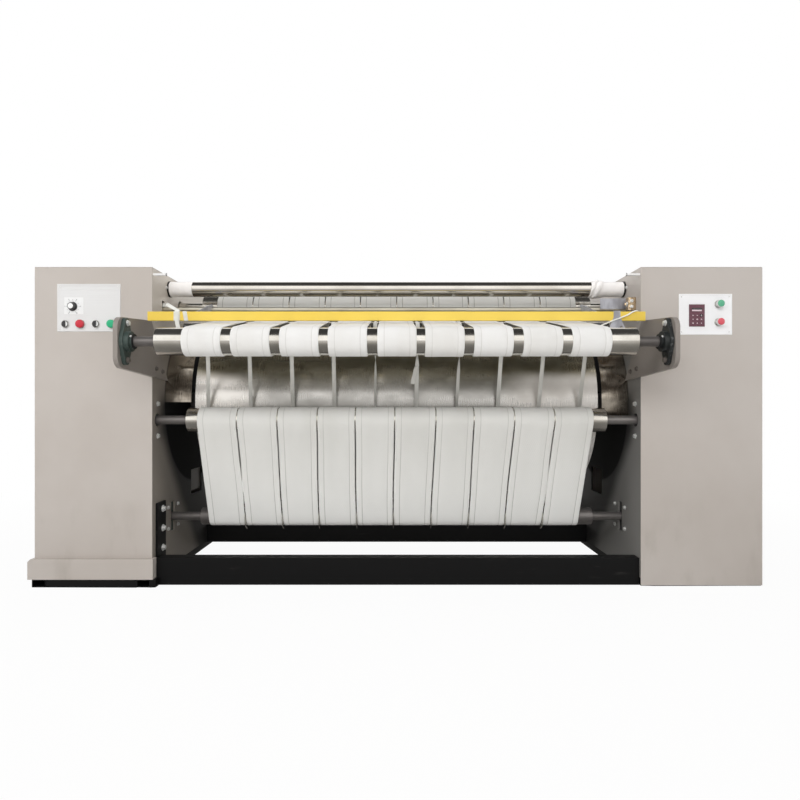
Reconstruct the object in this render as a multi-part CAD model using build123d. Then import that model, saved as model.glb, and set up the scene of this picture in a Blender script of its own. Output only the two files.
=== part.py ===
from build123d import *
from math import asin, atan2, cos, hypot, pi, radians, sin
import os

os.makedirs("parts", exist_ok=True)

# A roller-bed flatwork ironer: two end cabinets carry a heated drum, the rollers round it,
# a feed conveyor in front and ten endless ironing belts.
# Millimetres, X to the right, Y to the back, Z up. Depths are measured back from the front
# face of the cabinets, and heights from the floor.

# ---------------------------------------------------------------- driving dimensions
HEIGHT = 1400.0
LEVEL = HEIGHT / 1400.0       # the bed's heights are for a 1400 mm machine and go with it
BED_WIDTH = 2144.0            # between the inner faces of the two side plates
LEFT_WIDTH = 515.0            # left cabinet, side plate to outer cover
RIGHT_WIDTH = 533.0
CABINET_DEPTH = 1050.0
SHEET = 3.0                   # cover sheet
PLATE = 8.0                   # side plates and feed arms
LIP = 25.0                    # folded edge of a cover

SEAT = 0.3                    # gap between two pieces that seat on each other
RUN = 0.1                     # radial play of a shaft in its bearing
HOLE_PLAY = 10.0              # round a shaft, in the side plates
ARM_HOLE_PLAY = 5.0           # round a shaft, in the feed arms and take-up plates

BASE_HEIGHT = 34.0
BASE_TUBE = 60.0
TUBE_WALL = 4.0
BEAM_HEIGHT = 120.0
BEAM_FRONT = 15.0             # depth of the front beam's front face
BEAM_DEPTH = 60.0
REAR_BEAM_DEPTH = 755.0
REAR_BEAM_BOTTOM = 25.0
REAR_BEAM_HEIGHT = 100.0
BEAM_WALL = 5.0

SKIRT_PROUD = 25.0            # in front of the left cabinet
SKIRT_SIDE = 18.0             # outside the left cabinet
SKIRT_TOP = 123.0
SKIRT_SHEET = 2.5
SKIRT_BEND = 12.0
SKIRT_OVERLAP = 12.5          # past the side plate, into the bed

DRUM_RADIUS = 400.0
DRUM_LENGTH = 1864.0
DRUM_WALL = 10.0
DRUM_DEPTH = 547.0
DRUM_Z = 808.0 * LEVEL
END_DISC = 16.0
END_DISC_INSET = 30.0
END_DISC_HOLE = 110.0
END_DISC_HOLES = 4
END_DISC_CIRCLE = 240.0       # radius on which the holes lie
JOURNAL_RADIUS = 50.0
JOURNAL_BORE = 34.0
JOURNAL_OUT = 160.0           # past the outer face of the side plate
HUB_RADIUS = 85.0
HUB_LENGTH = 40.0
DRUM_HOUSING = (220.0, 30.0, 18.0)     # side, corner radius and thickness of its bearing plate
DRUM_BOSS = (85.0, 45.0)               # radius and length

ROLLER_RADIUS = 54.0
ROLLER_LENGTH = 1890.0
ROLLER_WALL = 4.0
ROLLER_END = 10.0
SHAFT_RADIUS = 20.0
SHAFT_OUT = 75.0              # past the inner face of the side plate
FEED_SHAFT_OUT = 2.0          # past the inner face of the feed arm

EAR_REACH = 3.6               # a bearing's bolts from its axis; these nine in shaft radii
WAIST = 2.3                   # flange at the middle
FLANGE_THICK = 0.75
HOUSING_RADIUS = 2.0
HOUSING_OUT = 1.65
INSERT_RADIUS = 1.45
INSERT_LIP = 1.3
INSERT_OUT = 2.1
BLIND_HOUSING = 1.8           # radius and length of a housing inside a cabinet
EAR_BOLT = 1.2                # across the head's corners
HEAD_SHARE = 0.4              # height of that head, as a share of its width

FEED_DEPTH = -292.0
FEED_Z = 1040.0 * LEVEL
TRANSFER_AT = (147.5, 168.0)  # angle round the drum from straight back, and
DELIVERY_AT = (189.4, 94.0)   # distance of the roller's axis from the drum's face
NIP_AT = (113.4, 114.0)
LOWER_DEPTH = 245.0
LOWER_Z = 264.0 * LEVEL
LOWER_RADIUS = 40.0
TAKE_UP_HEIGHT = 140.0        # slot in which the lower shaft is set for belt tension
TAKE_UP_WIDTH = 46.0
TAKE_UP_PLATE = (160.0, 190.0)
TAKE_UP_BOLTS = (62.0, 50.0)
TAKE_UP_BOLT = (19.0, 8.0)    # width and height of the head
LOWER_DISC_RADIUS = 60.0
LOWER_DISC = 2.0
REAR_DEPTH = 960.0
REAR_LOW_Z = 230.0 * LEVEL
REAR_HIGH_Z = 1290.0 * LEVEL
GUIDE_DEPTH = 203.0
GUIDE_Z = 1341.0 * LEVEL
GUIDE_RADIUS = 35.0
GUIDE_SHAFT = 12.5
GUIDE_BRIGHT = 957.0          # half-length of the bare tube between its cloth sleeves
GUIDE_SLEEVE_END = 1064.0
GUIDE_SLEEVE = 3.0

BELT = 4.0                    # belt thickness
TAPE = 1.0
TAPE_WIDTH = 18.0
TAPES = 10
FEED_BELTS = 9
FEED_BELT_WIDTH = 150.0
FEED_BELT_GAP = 37.0
IRONING_BELTS = 10
IRONING_BELT_WIDTH = 172.0
IRONING_BELT_GAP = 3.0

GUARD_GAP = 18.0              # between the drum's end and its end cover
GUARD_SHEET = 2.0
GUARD_TOP_ANGLE = 100.0
GUARD_LEFT_BOTTOM = 808.0 * LEVEL
GUARD_RIGHT_BOTTOM = 742.0 * LEVEL

ARM_TIP = -345.0
ARM_TIP_RADIUS = 45.0
ARM_LOW_FRONT = 938.0 * LEVEL
ARM_HIGH_FRONT = 1130.0 * LEVEL
ARM_REAR_LOW = (94.0, -205.0)   # corners of the rear edge, from the transfer roller's axis
ARM_REAR_HIGH = (-92.0, 47.0)
ARM_FLANGE = 10.0             # folded out past the arm's outer face
ARM_FLANGE_SHEET = 4.0
ARM_BOLTS = ((-138.0, 47.0), (-68.0, 38.0))      # from the rear edge's low corner
ARM_BOLT = (22.0, 8.0)

BAR_DEPTH = -120.0            # yellow finger-guard bar
BAR_Z = 1165.0 * LEVEL
BAR_HEIGHT = 38.0
BAR_THICK = 15.0
BAR_LENGTH = 2080.0
BAR_WALL = 2.0
PIVOT_DEPTH = 129.0
PIVOT_RADIUS = 10.0
PIVOT_OUT = 30.0              # past the outer face of the side plate
PIVOT_BEARING = (24.0, 20.0)  # radius and length
SLOT_BOTTOM = 1224.0 * LEVEL
SLOT_TOP = 1273.0 * LEVEL
SLOT_WIDTH = 31.0
LINK_X = 850.0
LINK_THICK = 6.0
LINK_HEIGHT = 34.0
LINK_EYE = 12.0               # metal round the rod
LINK_FOOT = (20.0, 4.0)
LINK_COLLAR = (8.0, 22.0)
LEVER = (933.0, 1062.0, 48.0, 5.0)     # x from, x to, height and thickness of the flat lever
STRAPS = ((-917.0, 26.0), (-884.0, 17.0))      # x and width of each tie strap
STRAP_THICK = 1.5
HOOK = (920.0, 28.0, 2.5)     # x, width and thickness of the steel hook on the bar
HOOK_TAB = (69.0, 35.0)       # width at its foot, and drop below the bar
HOOK_HOLE = (18.0, 8.0, 5.0)  # beside the middle, above the foot, radius

SWITCH_DEPTH = 70.0           # guard switch, on the right side plate
SWITCH_Z = HEIGHT - 152.0
SWITCH_BOX = (34.0, 32.0, 60.0)
SWITCH_NOSE = 12.0
SWITCH_ROUND = 3.0

WINDOW_FRONT = 500.0
WINDOW_REAR = 670.0
WINDOW_BOTTOM = 330.0 * LEVEL
WINDOW_TOP = 460.0 * LEVEL

BRACKET_FRONT = 37.0
BRACKET_REAR = 133.0
BRACKET_TOP = 357.0
BRACKET_THICK = 10.0
BRACKET_BOLTS = (325.0, 237.0, 148.0)
BRACKET_BOLT_DEPTH = 95.0
BRACKET_BOLT = (26.0, 10.0)
BRACKET_WASHER = (16.0, 3.0)  # radius and thickness

PIN_RADIUS = 5.5
PIN_LENGTH = 62.0
PIN_DEPTH = 12.0
PIN_Z = HEIGHT - 31.0

PANEL = 1.5
LEFT_PANEL = (-1487.0, -1210.0, HEIGHT - 284.0, HEIGHT - 75.0)      # x from, x to, z from, z to
RIGHT_PANEL = (1238.0, 1471.0, HEIGHT - 298.0, HEIGHT - 119.0)
DIAL = (-1456.0, -1373.0, HEIGHT - 207.0, HEIGHT - 134.0)
DIAL_SHEET = 1.0
KEYPAD = (1282.0, 1350.0, HEIGHT - 262.0, HEIGHT - 165.0)
KEYPAD_EDGE = 8.0
KEYPAD_THICK = 3.0
KEY_ROWS = 3
KEY_COLUMNS = 3
KEY_SIZE = (13.0, 10.0)
KEY_PITCH = (20.0, 17.0)
KEY_RISE = 0.8
DISPLAY_HEIGHT = 22.0
KNOB_XZ = (-1419.0, HEIGHT - 174.0)
KNOB_RADIUS = 20.0
KNOB_SKIRT = 6.0              # height of its wide foot
KNOB_GRIP = 16.0
KNOB_HEIGHT = 20.0
CONTROL_Z = HEIGHT - 251.0
SELECTOR_X = (-1451.0, -1317.0)
LEFT_STOP_X = -1384.0
LEFT_START_X = -1248.0
RIGHT_BUTTON_X = 1410.0
RIGHT_START_Z = HEIGHT - 164.0
RIGHT_STOP_Z = HEIGHT - 243.0
BEZEL = 2.5
COLLAR_HEIGHT = 6.0
SELECTOR_RADIUS = 14.5
SELECTOR_PROUD = 2.0          # in front of its bezel
SELECTOR_GRIP = (7.0, 26.0, 10.0)      # width, length, height
LEFT_BUTTON = 17.5            # radius of the left caps
RIGHT_BUTTON = 15.0
LEFT_CAP = 12.0               # cap length in front of the collar
RIGHT_CAP = 24.0
TRAVEL = 4.0
CAP_BACK = 1.0                # left behind a cap pressed home
CAP_EDGE = 1.0
STEM_RADIUS = 7.0
STEM_IN = 15.0                # behind the cover's front face
SWITCH_BODY = (28.0, 38.0, 32.0)
SWITCH_END = 4.0              # its closed end

CHAIN_PITCH = 25.4
DRUM_TEETH = 48
DRIVE_TEETH = 12
SPROCKET_THICK = 14.0
SPROCKET_OUT = 60.0           # past the outer face of the side plate
CHAIN_PLATE = 3.0
CHAIN_HEIGHT = 22.0
TOOTH_ROOT = 8.0              # below and above the pitch circle
TOOTH_TIP = 4.8
TOOTH_SUNK = 2.0              # into the wheel
TOOTH_WIDTHS = (15.2, 6.1)    # at the root and at the tip
DRIVE_Z = 330.0 * LEVEL
DRIVE_SHAFT = 19.0
DRIVE_SHAFT_OUT = 10.0        # past the sprocket
GEARBOX = (150.0, 190.0, 220.0)
GEARBOX_BEVEL = 20.0
GEARBOX_GAP = 25.0            # behind the sprocket
GEARBOX_BOSS = (45.0, 15.0)
MOTOR_RADIUS = 75.0
MOTOR_CORE = 60.0
MOTOR_LENGTH = 260.0
MOTOR_RISE = 44.0             # above the drive shaft
MOTOR_FINS = 4
MOUNT_PLATE = 12.0
MOUNT_WEB = 8.0

HEATER_TUBE = 25.0
HEATER_RODS = 4
HEATER_ROD = 9.0
HEATER_RING = 250.0
HEATER_SPIDERS = 2
HEATER_SPIDER = (30.0, 8.0)   # width and thickness of its arms
HEATER_EYE = 15.0             # metal round the tube
HEATER_CLEAR = 40.0           # from the rods' ends to the hub
HEATER_OUT = 20.0             # past the hanger
HANGER_GAP = 10.0             # past the journal
HEATER_DROP = 270.0
HEATER_BAR = 30.0

VENTS = 5
VENT_LENGTH = 160.0
VENT_HEIGHT = 8.0
VENT_PITCH = 30.0
VENT_Z = 1150.0 * LEVEL

# ---------------------------------------------------------------- places worked out from them
SIDE_X = BED_WIDTH / 2
LEFT_X = -SIDE_X - LEFT_WIDTH
RIGHT_X = SIDE_X + RIGHT_WIDTH
PLATE_OUT = SIDE_X + PLATE
FEED_REACH = ROLLER_RADIUS + SEAT + BELT - FEED_DEPTH
FRONT = (FEED_REACH - CABINET_DEPTH) / 2      # y of the cabinets' front faces
REAR = FRONT + CABINET_DEPTH
DRUM_Y = FRONT + DRUM_DEPTH
FEED_Y = FRONT + FEED_DEPTH
LOWER_Y = FRONT + LOWER_DEPTH
BACK_Y = FRONT + REAR_DEPTH
GUIDE_Y = FRONT + GUIDE_DEPTH
PIVOT_Y = FRONT + PIVOT_DEPTH
PIVOT_Z = SLOT_BOTTOM + PIVOT_RADIUS + SEAT
BAR_Y = FRONT + BAR_DEPTH
DRUM_HALF = DRUM_LENGTH / 2
ROLLER_HALF = ROLLER_LENGTH / 2
DRIVE_Y = DRUM_Y
CHAIN_X = -PLATE_OUT - SPROCKET_OUT           # middle plane of both sprockets
TAPE_PITCH = FEED_BELT_WIDTH + FEED_BELT_GAP


def beside_drum(place):
    """(y, z) of a roller that keeps its distance from the drum's face."""
    angle, away = place
    reach = DRUM_RADIUS + away
    return DRUM_Y + reach * cos(radians(angle)), DRUM_Z + reach * sin(radians(angle))


TRANSFER_Y, TRANSFER_Z = beside_drum(TRANSFER_AT)
DELIVERY_Y, DELIVERY_Z = beside_drum(DELIVERY_AT)
NIP_Y, NIP_Z = beside_drum(NIP_AT)
ARM_LOW = (TRANSFER_Y + ARM_REAR_LOW[0], TRANSFER_Z + ARM_REAR_LOW[1])
ARM_HIGH = (TRANSFER_Y + ARM_REAR_HIGH[0], TRANSFER_Z + ARM_REAR_HIGH[1])


# ---------------------------------------------------------------- ways of making a piece
def block(x0, x1, y0, y1, z0, z1):
    """A rectangular solid between two corners."""
    middle = Pos((x0 + x1) / 2, (y0 + y1) / 2, (z0 + z1) / 2)
    return middle * Box(abs(x1 - x0), abs(y1 - y0), abs(z1 - z0))


def prism(profile, x0, x1):
    """A (Y, Z) outline carried along X from x0 to x1."""
    return Pos(min(x0, x1), 0, 0) * extrude(Plane.YZ * profile, abs(x1 - x0), dir=(1, 0, 0))


def rod(y, z, radius, x0, x1, bore=0.0):
    """A round bar or tube along X."""
    ring = Pos(y, z) * Circle(radius)
    if bore:
        ring -= Pos(y, z) * Circle(bore)
    return prism(ring, x0, x1)


def peg(x, z, radius, y0, y1, bore=0.0):
    """A round bar or tube along Y."""
    ring = Circle(radius)
    if bore:
        ring -= Circle(bore)
    plane = Plane(origin=(x, min(y0, y1), z), x_dir=(1, 0, 0), z_dir=(0, 1, 0))
    return extrude(plane * ring, abs(y1 - y0), dir=(0, 1, 0))


def hex_head(x, y, z, size, height, side):
    """A bolt head on a plate that faces the bed: side is +1 on the right, -1 on the left."""
    face = Pos(y, z) * RegularPolygon(size / 2, 6)
    return prism(face, x, x - side * height)


def mirrored(shape):
    """The same piece on the other side of the bed."""
    return mirror(shape, about=Plane.YZ)


def both_sides(shapes):
    """Pieces of the right-hand side, with their left-hand twins."""
    return [twin for shape in shapes for twin in (shape, mirrored(shape))]


def band_places(count, pitch):
    """Centres of a row of like bands, spread evenly about the middle of the bed."""
    return [(i - (count - 1) / 2) * pitch for i in range(count)]


def loop_wire(wheels, grow):
    """Closed run of tangents and arcs round (y, z, radius) wheels, counter-clockwise.
    A wheel with a negative radius is passed on its far side, bending the other way."""
    count = len(wheels)
    headings = []
    for i in range(count):
        y0, z0, r0 = wheels[i]
        y1, z1, r1 = wheels[(i + 1) % count]
        apart = hypot(y1 - y0, z1 - z0)
        headings.append(atan2(z1 - z0, y1 - y0) + asin((r0 - r1) / apart))
    arcs = []
    for i in range(count):
        y, z, r = wheels[i]
        radius = r + grow
        turn = headings[i] - headings[i - 1]
        turn = turn % (2 * pi) if r > 0 else -((-turn) % (2 * pi))
        angles = [headings[i - 1] - pi / 2 + turn * part for part in (0, 0.5, 1)]
        arcs.append([(y + radius * cos(a), z + radius * sin(a)) for a in angles])
    edges = []
    for i in range(count):
        edges.append(ThreePointArc(*arcs[i]))
        edges.append(Line(arcs[i][2], arcs[(i + 1) % count][0]))
    return Wire(edges)


def endless_band(wheels, thickness, x, width):
    """One endless belt or tape: the space between its inner and outer faces."""
    outer = Face(loop_wire(wheels, thickness))
    inner = Face(loop_wire(wheels, 0.0))
    return prism(outer - inner, x - width / 2, x + width / 2)


def roller_tube(y, z, radius, half_length, wall, shaft):
    """A tube closed by an end disc at each end, bored for its shaft."""
    tube = rod(y, z, radius, -half_length, half_length, radius - wall)
    ends = rod(y, z, radius - wall, half_length - ROLLER_END, half_length, shaft + SEAT)
    return tube + ends + mirrored(ends)


def oval_flange(y, z, shaft, tilt):
    """Outline of a two-bolt bearing flange, less its shaft hole. Its bolts lie on a line
    that leans back from upright by `tilt` degrees."""
    reach = EAR_REACH * shaft
    ears = Pos(0, reach) * Circle(shaft) + Pos(0, -reach) * Circle(shaft)
    outline = Rot(0, 0, -tilt) * make_hull((Circle(WAIST * shaft) + ears).edges())
    return Pos(y, z) * (outline - Circle(shaft + RUN))


def open_bearing(y, z, face_x, out, shaft):
    """Upright flange bearing in plain view: a stepped housing, and the insert in it."""
    boss = HOUSING_OUT * shaft
    housing = prism(oval_flange(y, z, shaft, 0), face_x, face_x + out * FLANGE_THICK * shaft)
    housing += rod(y, z, HOUSING_RADIUS * shaft, face_x, face_x + out * boss)
    housing -= rod(y, z, INSERT_RADIUS * shaft, face_x, face_x + out * boss)
    insert = rod(y, z, INSERT_RADIUS * shaft - SEAT, face_x, face_x + out * boss, shaft + RUN)
    insert += rod(y, z, INSERT_LIP * shaft, face_x, face_x + out * INSERT_OUT * shaft, shaft + RUN)
    return [housing, insert]


def closed_bearing(y, z, face_x, shaft, tilt):
    """Flange bearing inside a cabinet, in one piece."""
    boss = BLIND_HOUSING * shaft
    flange_x = face_x + FLANGE_THICK * shaft
    flange = prism(oval_flange(y, z, shaft, tilt), face_x, flange_x)
    return flange + rod(y, z, boss, flange_x, face_x + boss, shaft + RUN)


def bearing_bolts(y, z, face_x, side, shaft, tilt):
    """The two bolt heads of an oval bearing."""
    size = EAR_BOLT * shaft
    height = HEAD_SHARE * size
    back = EAR_REACH * shaft * sin(radians(tilt))
    up = EAR_REACH * shaft * cos(radians(tilt))
    return [hex_head(face_x, y + end * back, z + end * up, size, height, side) for end in (1, -1)]


nodes = {}


def node(name, shapes):
    """Collect the separate solids of one named piece."""
    nodes[name] = [solid for shape in shapes for solid in shape.solids()]


# ---------------------------------------------------------------- side plates
shaft_hole = SHAFT_RADIUS + HOLE_PLAY
plate_profile = Pos(FRONT + CABINET_DEPTH / 2, (BASE_HEIGHT + HEIGHT - SHEET) / 2) * Rectangle(
    CABINET_DEPTH - 2 * SHEET, HEIGHT - SHEET - BASE_HEIGHT
)
for hole_y, hole_z, hole_r in (
    (TRANSFER_Y, TRANSFER_Z, shaft_hole),
    (DELIVERY_Y, DELIVERY_Z, shaft_hole),
    (NIP_Y, NIP_Z, shaft_hole),
    (BACK_Y, REAR_LOW_Z, shaft_hole),
    (BACK_Y, REAR_HIGH_Z, shaft_hole),
    (GUIDE_Y, GUIDE_Z, GUIDE_SHAFT + HOLE_PLAY),
    (DRUM_Y, DRUM_Z, JOURNAL_RADIUS + HOLE_PLAY),
):
    plate_profile -= Pos(hole_y, hole_z) * Circle(hole_r)
take_up_slot = Pos(LOWER_Y, LOWER_Z) * Rectangle(TAKE_UP_WIDTH, TAKE_UP_HEIGHT)
guard_slot = Pos(PIVOT_Y, (SLOT_BOTTOM + SLOT_TOP) / 2) * Rectangle(SLOT_WIDTH, SLOT_TOP - SLOT_BOTTOM)
window = Pos(FRONT + (WINDOW_FRONT + WINDOW_REAR) / 2, (WINDOW_BOTTOM + WINDOW_TOP) / 2) * Rectangle(
    WINDOW_REAR - WINDOW_FRONT, WINDOW_TOP - WINDOW_BOTTOM
)
plate_profile = plate_profile - take_up_slot - guard_slot - window
right_plate = prism(plate_profile, SIDE_X, PLATE_OUT)
node("right_side_plate", [right_plate])
node("left_side_plate", [mirrored(right_plate)])


# ---------------------------------------------------------------- cabinet covers
base_space = block(SIDE_X, RIGHT_X - SHEET, FRONT + SHEET, REAR - SHEET, 0, BASE_HEIGHT)


def pan(x0, x1, y0, y1, z0, z1, open_side):
    """A cover pan: the box's walls of sheet, with the wall on open_side left out.
    A pan that reaches below the top of the base frame has no fold there."""
    hollow = {
        "left": (x0, x1 - SHEET, y0 + SHEET, y1 - SHEET),
        "right": (x0 + SHEET, x1, y0 + SHEET, y1 - SHEET),
        "front": (x0 + SHEET, x1 - SHEET, y0, y1 - SHEET),
        "back": (x0 + SHEET, x1 - SHEET, y0 + SHEET, y1),
    }[open_side]
    cover = block(x0, x1, y0, y1, z0, z1) - block(*hollow, z0 + SHEET, z1 - SHEET)
    return cover - base_space


def front_cover(inner_x, outer_x, low_z, holes):
    """Front pan of a cabinet, folded back at its edges, drilled for its controls."""
    x0, x1 = sorted((inner_x, outer_x))
    cover = pan(x0, x1, FRONT, FRONT + LIP, low_z, HEIGHT - SHEET, "back")
    fold_x = inner_x + (PLATE if outer_x > inner_x else -PLATE)
    cover -= block(inner_x, fold_x, FRONT + SHEET, FRONT + LIP, low_z, HEIGHT)
    for hole_x, hole_z in holes:
        cover -= peg(hole_x, hole_z, STEM_RADIUS + SEAT, FRONT, FRONT + SHEET)
    return cover


left_buttons = [(LEFT_STOP_X, CONTROL_Z), (LEFT_START_X, CONTROL_Z)]
left_selectors = [(x, CONTROL_Z) for x in SELECTOR_X]
left_controls = left_selectors + left_buttons + [KNOB_XZ]
right_controls = [(RIGHT_BUTTON_X, RIGHT_START_Z), (RIGHT_BUTTON_X, RIGHT_STOP_Z)]
node("left_front_cover", [front_cover(-SIDE_X, LEFT_X, BASE_HEIGHT, left_controls)])
node("right_front_cover", [front_cover(SIDE_X, RIGHT_X, SHEET, right_controls)])


def outer_cover(outer_x, low_z, side):
    """Outer side of a cabinet, between the folds of the front and rear covers."""
    inner = outer_x - side * LIP
    opening = "left" if side > 0 else "right"
    x0, x1 = sorted((inner, outer_x))
    return pan(x0, x1, FRONT + LIP, REAR - LIP, low_z, HEIGHT - SHEET, opening)


node("outer_covers", [outer_cover(RIGHT_X, SHEET, 1), outer_cover(LEFT_X, BASE_HEIGHT, -1)])


def rear_cover(inner_x, outer_x, low_z):
    """Rear pan of a cabinet, with a row of cooling slots near its top."""
    x0, x1 = sorted((inner_x, outer_x))
    cover = pan(x0, x1, REAR - LIP, REAR, low_z, HEIGHT - SHEET, "front")
    fold_x = inner_x + (PLATE if outer_x > inner_x else -PLATE)
    cover -= block(inner_x, fold_x, REAR - LIP, REAR - SHEET, low_z, HEIGHT)
    middle = (inner_x + outer_x) / 2
    for i in range(VENTS):
        slot_z = VENT_Z + i * VENT_PITCH
        cover -= block(
            middle - VENT_LENGTH / 2, middle + VENT_LENGTH / 2, REAR - SHEET, REAR,
            slot_z, slot_z + VENT_HEIGHT,
        )
    return cover


node("rear_covers", [rear_cover(SIDE_X, RIGHT_X, SHEET), rear_cover(-SIDE_X, LEFT_X, BASE_HEIGHT)])
node(
    "top_covers",
    [
        block(SIDE_X, RIGHT_X, FRONT, REAR, HEIGHT - SHEET, HEIGHT),
        block(LEFT_X, -SIDE_X, FRONT, REAR, HEIGHT - SHEET, HEIGHT),
    ],
)


# ---------------------------------------------------------------- base, beams, skirt, bracket
def base_ring(x0, x1, y0, y1):
    """Four welded tubes on the floor, each a separate solid."""
    z1 = BASE_HEIGHT
    rails = [block(x, x + BASE_TUBE, y0, y1, 0, z1) for x in (x0, x1 - BASE_TUBE)]
    cross = [block(x0 + BASE_TUBE, x1 - BASE_TUBE, y, y + BASE_TUBE, 0, z1) for y in (y0, y1 - BASE_TUBE)]
    bore = [
        block(x + TUBE_WALL, x + BASE_TUBE - TUBE_WALL, y0, y1, TUBE_WALL, z1 - TUBE_WALL)
        for x in (x0, x1 - BASE_TUBE)
    ]
    return [rails[0] - bore[0], rails[1] - bore[1]] + cross


base_front = FRONT - SKIRT_PROUD + SKIRT_SHEET
left_ring = base_ring(LEFT_X, -SIDE_X, base_front, REAR)
right_ring = base_ring(SIDE_X, RIGHT_X - SHEET, FRONT + SHEET, REAR - SHEET)
foot = block(-SIDE_X, -SIDE_X + 2 * SKIRT_OVERLAP, base_front, FRONT + BEAM_FRONT, 0, BASE_HEIGHT)
node("base_frames", left_ring + right_ring + [foot])


def box_beam(y0, y1, z0, z1):
    """A rectangular hollow section across the bed."""
    tube = block(-SIDE_X, SIDE_X, y0, y1, z0, z1)
    return tube - block(-SIDE_X, SIDE_X, y0 + BEAM_WALL, y1 - BEAM_WALL, z0 + BEAM_WALL, z1 - BEAM_WALL)


beam_y = FRONT + BEAM_FRONT
node("front_beam", [box_beam(beam_y, beam_y + BEAM_DEPTH, 0, BEAM_HEIGHT)])
rear_beam_y = FRONT + REAR_BEAM_DEPTH
rear_beam_top = REAR_BEAM_BOTTOM + REAR_BEAM_HEIGHT
node("rear_beam", [box_beam(rear_beam_y, rear_beam_y + BEAM_DEPTH, REAR_BEAM_BOTTOM, rear_beam_top)])

skirt_outline = Polyline(
    (LEFT_X - SKIRT_SIDE, BASE_HEIGHT),
    (LEFT_X - SKIRT_SIDE, SKIRT_TOP - SKIRT_BEND),
    (LEFT_X - SKIRT_SIDE + SKIRT_BEND, SKIRT_TOP),
    (-SIDE_X + SKIRT_OVERLAP, SKIRT_TOP),
    (-SIDE_X + SKIRT_OVERLAP, BASE_HEIGHT),
    close=True,
)
skirt_plane = Plane(origin=(0, FRONT - SKIRT_PROUD, 0), x_dir=(1, 0, 0), z_dir=(0, -1, 0))
skirt_face = skirt_plane * make_face(skirt_outline)
skirt = extrude(skirt_face, REAR - FRONT + SKIRT_PROUD, dir=(0, 1, 0))
skirt -= block(
    LEFT_X - SKIRT_SIDE + SKIRT_SHEET,
    -SIDE_X + SKIRT_OVERLAP - SKIRT_SHEET,
    FRONT - SKIRT_PROUD + SKIRT_SHEET,
    REAR,
    BASE_HEIGHT,
    SKIRT_TOP - SKIRT_BEND - SKIRT_SHEET,
)
skirt -= block(LEFT_X, -SIDE_X, FRONT - SKIRT_PROUD + SKIRT_SHEET, REAR, BASE_HEIGHT, SKIRT_TOP - SKIRT_SHEET)
skirt -= block(LEFT_X, -SIDE_X, FRONT, REAR, BASE_HEIGHT, SKIRT_TOP)
skirt -= block(-SIDE_X, 0, FRONT + BEAM_FRONT, REAR, 0, SKIRT_TOP)
node("left_skirt", [skirt])

bracket_outline = make_face(
    Polyline(
        (FRONT + BRACKET_FRONT, BEAM_HEIGHT),
        (FRONT + BRACKET_FRONT, BRACKET_TOP),
        (FRONT + BRACKET_REAR, BRACKET_TOP),
        (FRONT + BRACKET_REAR, 0),
        (beam_y + BEAM_DEPTH, 0),
        (beam_y + BEAM_DEPTH, BEAM_HEIGHT),
        close=True,
    )
)
node("corner_bracket", [prism(bracket_outline, -SIDE_X, -SIDE_X + BRACKET_THICK)])

# ---------------------------------------------------------------- feed arms
arm_edge = FilletPolyline(
    ARM_LOW,
    (FRONT + ARM_TIP, ARM_LOW_FRONT),
    (FRONT + ARM_TIP, ARM_HIGH_FRONT),
    ARM_HIGH,
    radius=ARM_TIP_RADIUS,
)
arm_back = Line(ARM_HIGH, ARM_LOW)
arm_face = make_face(arm_edge.edges() + arm_back.edges())
arm_inner_x = SIDE_X - PLATE
arm_hole = Pos(FEED_Y, FEED_Z) * Circle(SHAFT_RADIUS + ARM_HOLE_PLAY)
arm = prism(arm_face - arm_hole, arm_inner_x, SIDE_X)
flange_face = arm_face - offset(arm_face, -ARM_FLANGE_SHEET)
front_part = Pos(FRONT + ARM_TIP / 2, FEED_Z) * Rectangle(-ARM_TIP - 2 * SEAT, 2 * ROLLER_LENGTH)
arm_flange = prism(flange_face & front_part, SIDE_X, SIDE_X + ARM_FLANGE)
node("feed_arms", both_sides([arm + arm_flange]))

# ---------------------------------------------------------------- rollers and their bearings
shaft_end = SIDE_X + SHAFT_OUT
feed_bearings = open_bearing(FEED_Y, FEED_Z, arm_inner_x, -1, SHAFT_RADIUS)
node("feed_bearings", both_sides(feed_bearings))

take_up_y, take_up_z = TAKE_UP_PLATE
take_up_face = Rectangle(take_up_y, take_up_z) - Circle(SHAFT_RADIUS + ARM_HOLE_PLAY)
take_up_face = Pos(LOWER_Y, LOWER_Z) * take_up_face
roller_bearings = [prism(take_up_face, PLATE_OUT, PLATE_OUT + PLATE)]
roller_bearings.append(closed_bearing(LOWER_Y, LOWER_Z, PLATE_OUT + PLATE, SHAFT_RADIUS, 0))
hidden = (
    (TRANSFER_Y, TRANSFER_Z, SHAFT_RADIUS, -35),
    (DELIVERY_Y, DELIVERY_Z, SHAFT_RADIUS, 0),
    (NIP_Y, NIP_Z, SHAFT_RADIUS, 0),
    (BACK_Y, REAR_LOW_Z, SHAFT_RADIUS, 0),
    (BACK_Y, REAR_HIGH_Z, SHAFT_RADIUS, 0),
    (GUIDE_Y, GUIDE_Z, GUIDE_SHAFT, 90),
)
bolts = bearing_bolts(FEED_Y, FEED_Z, arm_inner_x - FLANGE_THICK * SHAFT_RADIUS, 1, SHAFT_RADIUS, 0)
for back, up in ((1, 1), (1, -1), (-1, 1), (-1, -1)):
    bolt_y = LOWER_Y + back * TAKE_UP_BOLTS[0]
    bolts.append(hex_head(SIDE_X, bolt_y, LOWER_Z + up * TAKE_UP_BOLTS[1], *TAKE_UP_BOLT, 1))
for bearing_y, bearing_z, shaft, tilt in hidden:
    roller_bearings.append(closed_bearing(bearing_y, bearing_z, PLATE_OUT, shaft, tilt))
    bolts += bearing_bolts(bearing_y, bearing_z, SIDE_X, 1, shaft, tilt)
pivot_outer, pivot_long = PIVOT_BEARING
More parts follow.
